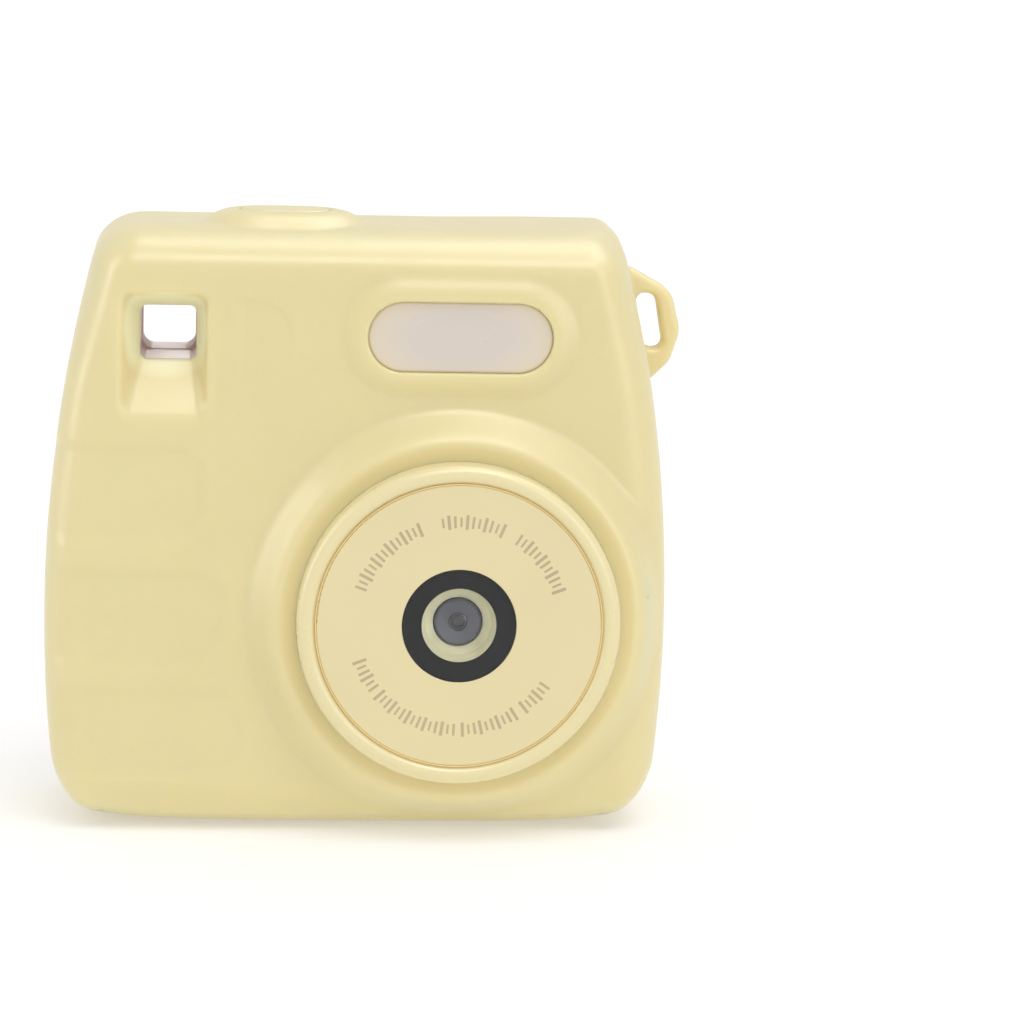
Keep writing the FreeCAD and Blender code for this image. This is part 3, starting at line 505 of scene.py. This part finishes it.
def make_sleeve():
    """The sleeve's skin, with its shading taken from the field itself."""
    points, quads = surface_net(SLEEVE_LOW - SLEEVE_MARGIN, SLEEVE_HIGH + SLEEVE_MARGIN, SLEEVE_PITCH)
    for _ in range(2):
        points = pull_to_surface(relax(points, quads), rounds=1)
    points = pull_to_surface(points, rounds=2)
    piece = mesh_from("sleeve_skin", points, quads)
    triangles = 2 * len(quads)
    if triangles > SLEEVE_TRIANGLES:
        thin_out(piece, triangles)
    settled = pull_to_surface(points_of(piece) / MM, rounds=2, most=0.1)
    piece.data.vertices.foreach_set("co", (settled * MM).ravel())
    slope = gradient_at(settled)
    slope /= np.maximum(np.linalg.norm(slope, axis=1, keepdims=True), TINY)
    piece.data.shade_smooth()
    piece.data.normals_split_custom_set_from_vertices(slope.tolist())
    piece.data.update()
    return piece


sleeve = make_sleeve()
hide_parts("silicone_sleeve")
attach(sleeve, "case")


# ---- materials ------------------------------------------------------------------
def srgb(red, green, blue):
    """A colour given as it looks on a screen, from 0 to 255, as linear light."""
    def linear(c):
        c /= 255
        return c / 12.92 if c <= 0.04045 else ((c + 0.055) / 1.055) ** 2.4
    return (linear(red), linear(green), linear(blue), 1.0)


# A Mix node's sockets when it mixes colours
MIX_FACTOR, MIX_FIRST, MIX_SECOND, MIX_RESULT = 0, 6, 7, 2


class Recipe:
    """A material and short calls for its nodes."""

    def __init__(self, name):
        self.material = bpy.data.materials.new(name)
        self.material.use_nodes = True
        self.nodes = self.material.node_tree.nodes
        self.links = self.material.node_tree.links
        self.shader = self.nodes["Principled BSDF"]
        self.place = self.nodes.new("ShaderNodeTexCoord").outputs["Object"]

    def set(self, **values):
        for name, value in values.items():
            self.shader.inputs[name.replace("_", " ")].default_value = value
        return self

    def noise(self, size_mm, detail):
        node = self.nodes.new("ShaderNodeTexNoise")
        node.inputs["Scale"].default_value = 1 / (size_mm * MM)
        node.inputs["Detail"].default_value = detail
        self.links.new(self.place, node.inputs["Vector"])
        return node.outputs["Fac"]

    def ramp(self, fac, dark, light, low=0.35, high=0.65):
        node = self.nodes.new("ShaderNodeValToRGB")
        node.color_ramp.elements[0].position = low
        node.color_ramp.elements[0].color = dark
        node.color_ramp.elements[1].position = high
        node.color_ramp.elements[1].color = light
        self.links.new(fac, node.inputs["Fac"])
        return node.outputs["Color"]

    def span(self, fac, low, high, start=0.3, end=0.7):
        """Stretches a value between start and end over low to high."""
        node = self.nodes.new("ShaderNodeMapRange")
        node.inputs["From Min"].default_value = start
        node.inputs["From Max"].default_value = end
        node.inputs["To Min"].default_value = low
        node.inputs["To Max"].default_value = high
        self.links.new(fac, node.inputs["Value"])
        return node.outputs["Result"]

    def near(self, centre_mm, reach_mm):
        """1 at a spot, falling to 0 at an egg-shaped edge round it."""
        shift = self.nodes.new("ShaderNodeMapping")
        shift.vector_type = "TEXTURE"
        shift.inputs["Location"].default_value = tuple(c * MM for c in centre_mm)
        shift.inputs["Scale"].default_value = tuple(r * MM for r in reach_mm)
        ball = self.nodes.new("ShaderNodeTexGradient")
        ball.gradient_type = "SPHERICAL"
        self.links.new(self.place, shift.inputs["Vector"])
        self.links.new(shift.outputs["Vector"], ball.inputs["Vector"])
        return ball.outputs["Fac"]

    def blend(self, fac, first, second):
        """Mixes two colour outputs."""
        node = self.nodes.new("ShaderNodeMix")
        node.data_type = "RGBA"
        self.links.new(fac, node.inputs[MIX_FACTOR])
        self.links.new(first, node.inputs[MIX_FIRST])
        self.links.new(second, node.inputs[MIX_SECOND])
        return node.outputs[MIX_RESULT]

    def colour(self, output):
        self.links.new(output, self.shader.inputs["Base Color"])
        return self

    def roughness(self, output):
        self.links.new(output, self.shader.inputs["Roughness"])
        return self

    def bump(self, height, depth_mm):
        node = self.nodes.new("ShaderNodeBump")
        node.inputs["Strength"].default_value = 1.0
        node.inputs["Distance"].default_value = depth_mm * MM
        self.links.new(height, node.inputs["Height"])
        self.links.new(node.outputs["Normal"], self.shader.inputs["Normal"])
        return self


def moulded(name, colour, rough=0.4, vary=0.03, grain_mm=0.25, grain_depth=0.004, **values):
    """Moulded plastic: faint tone drift, fine grain and uneven gloss."""
    recipe = Recipe(name)
    dark = tuple(c * (1 - vary) for c in colour[:3]) + (1.0,)
    light = tuple(min(1, c * (1 + vary)) for c in colour[:3]) + (1.0,)
    recipe.colour(recipe.ramp(recipe.noise(size_mm=22, detail=2), dark, light))
    recipe.roughness(recipe.span(recipe.noise(size_mm=6, detail=3), rough - 0.04, rough + 0.04))
    recipe.bump(recipe.noise(grain_mm, detail=2), grain_depth)
    return recipe.set(**values)


def metal(name, colour, rough):
    """Bare metal: cloudy tone, uneven gloss and fine grain."""
    recipe = Recipe(name)
    dark = tuple(c * 0.85 for c in colour[:3]) + (1.0,)
    recipe.colour(recipe.ramp(recipe.noise(size_mm=1.5, detail=3), dark, colour))
    recipe.roughness(recipe.span(recipe.noise(size_mm=0.6, detail=3), rough - 0.08, rough + 0.1))
    recipe.bump(recipe.noise(size_mm=0.12, detail=2), depth_mm=0.003)
    return recipe.set(Metallic=1.0)


def paint(node, recipe):
    """Gives a CAD node its only material."""
    piece = frame["nodes"][node]
    piece.data.materials.clear()
    piece.data.materials.append(recipe.material)


SILICONE = srgb(231, 217, 165)
# Painted light: the egg-shaped region of the viewfinder's mouth that is painted lighter
GLOW_CENTRE = (FUNNEL_MID_X, -HALF_DEPTH + 3.6, FUNNEL_MID_Z + 4.5)
GLOW_REACH = (9.8, 4.8, 9.0)
silicone = moulded("silicone", SILICONE, rough=0.37, vary=0.012, grain_mm=0.35, grain_depth=0.003,
                   Subsurface_Weight=0.6, Subsurface_Radius=(1.0, 0.75, 0.4), Subsurface_Scale=0.003,
                   Specular_IOR_Level=0.6, Sheen_Weight=0.12, Sheen_Roughness=0.4)


def paint_funnel_light(recipe):
    """Painted light: the viewfinder's mouth, whose thin wall lets more light through, is painted lighter.
    """
    plain_tone = recipe.shader.inputs["Base Color"].links[0].from_socket
    mask = recipe.near(GLOW_CENTRE, GLOW_REACH)
    glow = recipe.ramp(recipe.noise(size_mm=9, detail=2), srgb(254, 244, 200), srgb(255, 246, 205))
    recipe.colour(recipe.blend(recipe.span(mask, 0.0, 1.0, 0.03, 0.25), plain_tone, glow))


paint_funnel_light(silicone)
sleeve.data.materials.clear()
sleeve.data.materials.append(silicone.material)

ring_plastic = moulded("ring_plastic", srgb(234, 221, 172), rough=0.3, vary=0.004, grain_depth=0.0008)
plate_plastic = moulded("plate_plastic", srgb(229, 215, 167), rough=0.45, vary=0.01, grain_mm=0.2)
shell_plastic = moulded("shell_plastic", srgb(242, 226, 217), rough=0.42, vary=0.015)
key_plastic = moulded("key_plastic", SILICONE, rough=0.36, vary=0.01)
well_plastic = moulded("well_plastic", srgb(240, 235, 196), rough=0.5, vary=0.02, Subsurface_Weight=0.5,
                       Subsurface_Radius=(1.0, 0.95, 0.8), Subsurface_Scale=0.004)
# Painted shade: the well's lower part is painted darker, evening out the light that falls there from above.
painted_well_shade = well_plastic.near((LENS_X, CELL_FRONT, LENS_Z - 5.6), (8.0, 6.0, 7.0))
well_plastic.colour(well_plastic.ramp(painted_well_shade, srgb(234, 230, 191), srgb(200, 195, 160), 0.0, 0.45))
mask_ink = moulded("mask_ink", srgb(12, 12, 14), rough=0.55, vary=0.04, grain_depth=0.0,
                   Specular_IOR_Level=0.12)
lens_black = moulded("lens_black", srgb(90, 91, 101), rough=0.45, vary=0.05)
diffuser = moulded("diffuser", srgb(220, 209, 200), rough=0.3, vary=0.01, grain_depth=0.001)
# Painted light: the flash window is painted lighter and warmer toward its edge, greyer toward its middle.
painted_window_light = diffuser.near((FLASH_X, FLASH_LOW[1], FLASH_Z), (15.5, 6.0, 7.5))
diffuser.colour(diffuser.ramp(painted_window_light, srgb(227, 214, 190), srgb(216, 206, 196), 0.02, 0.5))
white_tray = moulded("reflector_white", srgb(235, 235, 232), rough=0.2, vary=0.02)
led_resin = moulded("led", srgb(240, 215, 90), rough=0.2, vary=0.05)
board_green = moulded("circuit_board", srgb(28, 92, 52), rough=0.35, vary=0.15)
chip_black = moulded("chip_black", srgb(34, 34, 36), rough=0.5, vary=0.1)
flex_amber = moulded("flex", srgb(186, 120, 44), rough=0.3, vary=0.08)
pouch = metal("battery_wrap", srgb(205, 207, 212), rough=0.4)
foam = moulded("foam", srgb(40, 40, 42), rough=0.9, vary=0.1, grain_mm=0.5, grain_depth=0.05)
insulation = moulded("wire_insulation", srgb(176, 32, 30), rough=0.4, vary=0.05)
speaker_black = moulded("speaker_frame", srgb(42, 42, 44), rough=0.5, vary=0.1)
steel = metal("screw_steel", srgb(190, 190, 188), rough=0.32)
socket_steel = metal("metal_shell", srgb(200, 200, 200), rough=0.25)
panel_black = moulded("display_panel", srgb(22, 23, 28), rough=0.15, vary=0.1)
screen_glass = moulded("display_glass", srgb(14, 14, 19), rough=0.1, vary=0.05, grain_depth=0.0,
                       Specular_IOR_Level=0.3)
switch_black = moulded("switch_black", srgb(46, 46, 48), rough=0.45, vary=0.1)
front_glass = moulded("optical_glass", srgb(70, 70, 80), rough=0.08, vary=0.05, Coat_Weight=0.8)


def clear_plastic(name, tint):
    """Clear acrylic that lets the lamps through."""
    recipe = Recipe(name)
    recipe.colour(recipe.ramp(recipe.noise(size_mm=15, detail=2), tint, (1, 1, 1, 1)))
    recipe.set(Transmission_Weight=1.0, Roughness=0.0, IOR=1.3)
    through = recipe.nodes.new("ShaderNodeBsdfTransparent")
    light_path = recipe.nodes.new("ShaderNodeLightPath")
    mix = recipe.nodes.new("ShaderNodeMixShader")
    recipe.links.new(light_path.outputs["Is Shadow Ray"], mix.inputs["Fac"])
    recipe.links.new(recipe.shader.outputs["BSDF"], mix.inputs[1])
    recipe.links.new(through.outputs["BSDF"], mix.inputs[2])
    recipe.links.new(mix.outputs["Shader"], recipe.nodes["Material Output"].inputs["Surface"])
    return recipe


clear = clear_plastic("clear_plastic", (0.95, 0.96, 0.95, 1))

FINISH = {
    "shell_plastic": shell_plastic, "ring_plastic": ring_plastic, "plate_plastic": plate_plastic,
    "well_plastic": well_plastic, "clear_plastic": clear, "mask_ink": mask_ink,
    "lens_black": lens_black, "optical_glass": front_glass, "diffuser": diffuser,
    "reflector_white": white_tray, "led": led_resin, "circuit_board": board_green,
    "chip_black": chip_black, "screw_steel": steel, "flex": flex_amber, "battery_wrap": pouch,
    "foam": foam, "wire_insulation": insulation, "speaker_frame": speaker_black,
    "metal_shell": socket_steel, "display_panel": panel_black, "display_glass": screen_glass,
    "key_plastic": key_plastic, "switch_black": switch_black, "silicone": silicone,
}
for row in frame["record"]["subparts"]:
    paint(row["node"], FINISH[row["material_slot"]])

# ---- turned rings round the lens ------------------------------------------------
RING_BORE, BORE_EDGE = 22.6, 0.75
CROWN_OUT, CROWN_IN, CROWN_HIGH = 1.6, 1.3, 1.55


def turned(name, profile, segments=256):
    """A smooth ring about the lens axis from a closed run of (radius, y) points."""
    rows = len(profile)
    points, faces = [], []
    for i in range(segments):
        angle = 2 * math.pi * i / segments
        for radius, y in profile:
            points.append((LENS_X + radius * math.cos(angle), y, LENS_Z + radius * math.sin(angle)))
    for i in range(segments):
        here, there = i * rows, (i + 1) % segments * rows
        for j in range(rows):
            k = (j + 1) % rows
            faces.append((here + j, here + k, there + k, there + j))
    piece = mesh_from(name, np.array(points), np.array(faces))
    piece.data.shade_smooth()
    piece.data.set_sharp_from_angle(angle=math.radians(50))
    return piece


def round_section(radius, y, size, steps=12):
    turns = [2 * math.pi * i / steps for i in range(steps)]
    return [(radius + size * math.cos(t), y + size * math.sin(t)) for t in turns]


def lens_ring():
    """The bezel ring with its crowned front, closed at the back."""
    crest, front, back = RING_RADIUS - CROWN_OUT, RING_LOW[1], RING_HIGH[1]
    arc = []
    for degrees in range(0, 141, 5):
        c, s = math.cos(math.radians(degrees)), math.sin(math.radians(degrees))
        reach = CROWN_OUT if c > 0 else CROWN_IN
        arc.append((crest + reach * c, front + CROWN_HIGH - CROWN_HIGH * s))
    profile = [(RING_RADIUS, back)] + arc + [(RING_BORE, front + BORE_EDGE), (RING_BORE, back)]
    return turned("lens_ring_turned", profile[::-1])


ring_piece = lens_ring()
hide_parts("lens_ring")
ring_piece.data.materials.append(ring_plastic.material)
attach(ring_piece, "case")

# Painted shade: a thin orange ring laid in the seam between the lens plate and the bezel ring.
seam = turned("plate_seam", round_section(radius=22.55, y=PLATE_FRONT + 0.02, size=0.11))
painted_seam_shade = moulded("painted_seam_shade", srgb(240, 210, 138), rough=0.4, vary=0.02)
seam.data.materials.append(painted_seam_shade.material)
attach(seam, "case")

for count, radius in enumerate((0.32, 0.72, 1.1)):
    section = round_section(radius, CELL_FRONT, size=0.06, steps=8)
    groove = turned("cell_groove_%d" % count, section, segments=96)
    groove.data.materials.append(chip_black.material)
    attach(groove, "case")


# ---- printed marks on the lens plate --------------------------------------------
TICK_RADIUS, TICK_STEP = 16.6, 3.3
TICK_LENGTHS = (2.3, 1.5, 1.9)
TICK_HALF_WIDTHS = (0.24, 0.17, 0.2)
TICK_GROUPS = ((20.5, 12), (67, 11), (113, 15), (200.5, 6), (222, 15), (273, 10), (309, 6))
PRINT_RAISED, PRINT_SUNK = 0.015, 0.01


def add_tick(points, faces, angle, length, half_width):
    out = np.array([math.cos(angle), 0, math.sin(angle)])
    side = np.array([-math.sin(angle), 0, math.cos(angle)])
    inner, outer = TICK_RADIUS - length / 2, TICK_RADIUS + length / 2
    f = len(points)
    for radius, way in ((inner, -1), (inner, 1), (outer, 1), (outer, -1)):
        spot = np.array([LENS_X, 0, LENS_Z]) + out * radius + side * way * half_width
        points += [(spot[0], y, spot[2]) for y in (PLATE_FRONT - PRINT_RAISED, PLATE_FRONT + PRINT_SUNK)]
    faces += [(f, f + 2, f + 4, f + 6), (f + 1, f + 7, f + 5, f + 3)]
    faces += [(f + 2 * i, f + 2 * i + 1, f + (2 * i + 3) % 8, f + (2 * i + 2) % 8) for i in range(4)]


def plate_print():
    """Two arcs of short and long ticks, in groups, like the scale on a lens."""
    points, faces = [], []
    for start, count in TICK_GROUPS:
        for i in range(count):
            angle = math.radians(start + i * TICK_STEP)
            add_tick(points, faces, angle, TICK_LENGTHS[i % 3], TICK_HALF_WIDTHS[i % 3])
    return mesh_from("plate_print", np.array(points), np.array(faces))


marks = plate_print()
print_ink = moulded("print_ink", srgb(192, 172, 138), rough=0.6, vary=0.05)
marks.data.materials.append(print_ink.material)
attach(marks, "case")


# ---- shutter button and the marks on the keys -----------------------------------
SLOTS = {row["node"]: row["material_slot"] for row in frame["record"]["subparts"]}
STEM_RADIUS = 1.4
FLANGE_Z0, FLANGE_Z1 = 90.9, 92.3
FLANGE_HALF_W, FLANGE_HALF_D = 8.8, 5.9
CAP_PROUD, CAP_SOFT = 0.3, 0.8
CAP_STEPS = 96


def cap_sections():
    """The height, half width and half depth of each stadium, from the stem up."""
    sections = [(BUTTON_LOW[2], STEM_RADIUS, STEM_RADIUS), (FLANGE_Z0, STEM_RADIUS, STEM_RADIUS),
                (FLANGE_Z0, FLANGE_HALF_W, FLANGE_HALF_D), (FLANGE_Z1, FLANGE_HALF_W, FLANGE_HALF_D),
                (FLANGE_Z1, BUTTON_HALF_W, BUTTON_HALF_D)]
    top = COLLAR_TOP + CAP_PROUD
    for degrees in range(0, 91, 10):
        inset = CAP_SOFT * (1 - math.cos(math.radians(degrees)))
        rise = CAP_SOFT * (math.sin(math.radians(degrees)) - 1)
        sections.append((top + rise, BUTTON_HALF_W - inset, BUTTON_HALF_D - inset))
    return sections


def shutter_cap():
    """The shutter's cap, flange and stem, stacked from stadium sections."""
    steps, sections = CAP_STEPS, cap_sections()
    points = []
    for z, half_long, radius in sections:
        for i in range(steps):
            angle = 2 * math.pi * (i + 0.5) / steps
            shift = math.copysign(half_long - radius, math.cos(angle))
            points.append((SHUTTER_X + shift + radius * math.cos(angle), radius * math.sin(angle), z))
    faces = [tuple(range(steps))[::-1], tuple(range(len(points) - steps, len(points)))]
    for j in range(len(sections) - 1):
        for i in range(steps):
            k = (i + 1) % steps
            faces.append((j * steps + i, j * steps + k, (j + 1) * steps + k, (j + 1) * steps + i))
    piece = mesh_from("shutter_cap", points, faces)
    piece.data.shade_smooth()
    piece.data.set_sharp_from_angle(angle=math.radians(40))
    return piece


cap = shutter_cap()
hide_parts("shutter_button")
cap.data.materials.append(FINISH[SLOTS["shutter_button"]].material)
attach(cap, "shutter")

# How far under a key's outermost point its mark starts and ends
MARK_FOOT, MARK_FACE = 0.5, 0.08
DISC_RADIUS = 1.1


def arc_outlines(inner, outer, start, end, steps=24):
    """A band round the middle, in flat four-sided outlines."""
    turns = [math.radians(start + (end - start) * i / steps) for i in range(steps + 1)]
    return [[(inner * math.cos(a), inner * math.sin(a)), (outer * math.cos(a), outer * math.sin(a)),
             (outer * math.cos(b), outer * math.sin(b)), (inner * math.cos(b), inner * math.sin(b))]
            for a, b in zip(turns, turns[1:])]


def bar(u0, u1, v0, v1):
    return [(u0, v0), (u1, v0), (u1, v1), (u0, v1)]


def arrow(way_u, way_v, size):
    """A triangle pointing the given way."""
    tip = (way_u * size, way_v * size)
    back_u, back_v = -way_u * size * 0.6, -way_v * size * 0.6
    wide = size * 0.95
    return [tip, (back_u - way_v * wide, back_v + way_u * wide),
            (back_u + way_v * wide, back_v - way_u * wide)]


def key_mark(node, outlines):
    """Low raised marks on a key; u runs to the right as seen from behind, v upward."""
    low, high = low_high(node)
    middle = (low + high) / 2
    points, faces = [], []
    for outline in outlines:
        first, count = len(points), len(outline)
        for y in (high[1] - MARK_FOOT, high[1] - MARK_FACE):
            points += [(middle[0] - u, y, middle[2] + v) for u, v in outline]
        faces.append([first + i for i in range(count)][::-1])
        faces.append([first + count + i for i in range(count)])
        for i in range(count):
            k = (i + 1) % count
            faces.append([first + i, first + k, first + count + k, first + count + i])
    piece = mesh_from("mark_" + node, points, faces)
    piece.data.materials.append(mark_plastic.material)
    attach(piece, node[4:] + "_key")


mark_plastic = moulded("mark_plastic", srgb(150, 128, 96), rough=0.5, vary=0.05)
DISC = [(DISC_RADIUS * math.cos(math.radians(a)), DISC_RADIUS * math.sin(math.radians(a)))
        for a in range(0, 360, 12)]
MARKS = {
    "key_up": [arrow(0, 1, size=1.4)],
    "key_down": [arrow(0, -1, size=1.4)],
    "key_left": [arrow(-1, 0, size=1.4)],
    "key_right": [arrow(1, 0, size=1.4)],
    "key_ok": [DISC],
    "key_menu": [bar(-1.3, 1.3, v - 0.2, v + 0.2) for v in (-0.85, 0.0, 0.85)],
    "key_play": [arrow(1, 0, size=1.2)],
    "key_power": arc_outlines(0.95, 1.35, 125, 415) + [bar(-0.2, 0.2, 0.45, 1.6)],
}
for key_node, key_outlines in MARKS.items():
    key_mark(key_node, key_outlines)


# ---- stage, lights and camera ---------------------------------------------------
FLOOR_SIZE = 60
FLOOR_DARK, FLOOR_TONE, FLOOR_GLOW = 0.715, 0.72, 0.31
WORLD_SEEN, WORLD_LIGHT = 1.0, 0.78
VIEW_TARGET = (0, 0, 0.047)
VIEW_DISTANCE = 0.640
VIEW_LIFT, VIEW_TURN, VIEW_ROLL = 10.0, -2.1, 1.08
AIM_RIGHT, AIM_UP = 0.02565, 0.00228
LENS_MM, SENSOR_MM = 138.3, 36


def add_thing(name, data):
    thing = bpy.data.objects.new(name, data)
    bpy.context.scene.collection.objects.link(thing)
    return thing


def add_floor():
    bpy.ops.mesh.primitive_plane_add(size=FLOOR_SIZE, location=(0, 0, 0))
    floor = bpy.context.object
    floor.name = "floor"
    recipe = Recipe("floor_paper")
    dark, light = (FLOOR_DARK,) * 3 + (1,), (FLOOR_TONE,) * 3 + (1,)
    recipe.colour(recipe.ramp(recipe.noise(size_mm=300, detail=2), dark, light))
    recipe.set(Roughness=0.9, Specular_IOR_Level=0.1,
               Emission_Color=(1, 1, 1, 1), Emission_Strength=FLOOR_GLOW)
    floor.data.materials.append(recipe.material)


def add_area(name, place, target, size, power, size_y=None, only_gloss=False):
    """An area lamp; one that is only gloss is seen in reflections and lights nothing."""
    lamp = bpy.data.lights.new(name, "AREA")
    lamp.energy = power
    lamp.size = size
    if size_y:
        lamp.shape = "RECTANGLE"
        lamp.size_y = size_y
    thing = add_thing(name, lamp)
    thing.visible_camera = False
    thing.visible_diffuse = not only_gloss
    thing.location = place
    thing.rotation_euler = (Vector(target) - Vector(place)).to_track_quat("-Z", "Y").to_euler()
    return thing


def add_sun(name, toward, strength, spread):
    """Even light from one side of the sky, the same all over the floor."""
    lamp = bpy.data.lights.new(name, "SUN")
    lamp.energy = strength
    lamp.angle = math.radians(spread)
    thing = add_thing(name, lamp)
    thing.rotation_euler = (-Vector(toward)).to_track_quat("-Z", "Y").to_euler()
    thing.visible_glossy = False


def add_world():
    """White to the camera, softer as a light."""
    world = bpy.data.worlds.new("studio")
    world.use_nodes = True
    bpy.context.scene.world = world
    nodes, links = world.node_tree.nodes, world.node_tree.links
    seen = nodes["Background"]
    lighting = nodes.new("ShaderNodeBackground")
    for node, strength in ((seen, WORLD_SEEN), (lighting, WORLD_LIGHT)):
        node.inputs["Color"].default_value = (1, 1, 1, 1)
        node.inputs["Strength"].default_value = strength
    path = nodes.new("ShaderNodeLightPath")
    mix = nodes.new("ShaderNodeMixShader")
    links.new(path.outputs["Is Camera Ray"], mix.inputs["Fac"])
    links.new(lighting.outputs["Background"], mix.inputs[1])
    links.new(seen.outputs["Background"], mix.inputs[2])
    links.new(mix.outputs["Shader"], nodes["World Output"].inputs["Surface"])


def view_axes():
    """The camera's right, up and back, and its place."""
    lift, turn, roll = (math.radians(a) for a in (VIEW_LIFT, VIEW_TURN, VIEW_ROLL))
    back = Vector((math.sin(turn) * math.cos(lift), -math.cos(turn) * math.cos(lift), math.sin(lift)))
    right = Vector((math.cos(turn), math.sin(turn), 0))
    up = back.cross(right)
    rolled_right = right * math.cos(roll) + up * math.sin(roll)
    rolled_up = up * math.cos(roll) - right * math.sin(roll)
    target = Vector(VIEW_TARGET)
    place = target + back * VIEW_DISTANCE
    aim = target + rolled_right * AIM_RIGHT + rolled_up * AIM_UP
    forward = (aim - place).normalized()
    side = forward.cross(rolled_up).normalized()
    return side, side.cross(forward), -forward, place


def add_camera():
    """Looks slightly down and from slightly left, with the object left of the middle."""
    data = bpy.data.cameras.new("view")
    data.lens = LENS_MM
    data.sensor_width = SENSOR_MM
    camera = add_thing("view", data)
    side, upward, backward, place = view_axes()
    axes = Matrix((side, upward, backward)).transposed().to_4x4()
    camera.matrix_world = Matrix.Translation(place) @ axes
    bpy.context.scene.camera = camera


add_floor()
add_world()
add_sun("soft_key", toward=(0.16, -0.42, 1.0), strength=0.82, spread=36)
ABOVE_BODY, MID_BODY = (0, 0, 0.06), (0, 0, 0.05)
add_area("front_softbox", (0.18, -0.55, 0.95), ABOVE_BODY, size=0.7, power=5.2, size_y=0.4, only_gloss=True)
add_area("top_softbox", (0.28, 0.20, 0.90), ABOVE_BODY, size=0.8, power=6.6, size_y=0.7, only_gloss=True)
add_area("left_softbox", (-0.95, -0.12, 0.35), MID_BODY, size=0.3, power=4.0, size_y=0.9, only_gloss=True)
add_area("right_softbox", (0.75, -0.75, 0.35), MID_BODY, size=0.45, power=3.0, size_y=0.8, only_gloss=True)
tunnel_lamp = add_area("tunnel_lamp", (-0.030, 0.110, 0.108), (-0.030, 0.004, 0.0775),
                       size=0.008, power=0.00004)
tunnel_lamp.data.spread = math.radians(16)
add_camera()
bpy.context.scene.view_settings.view_transform = "Standard"
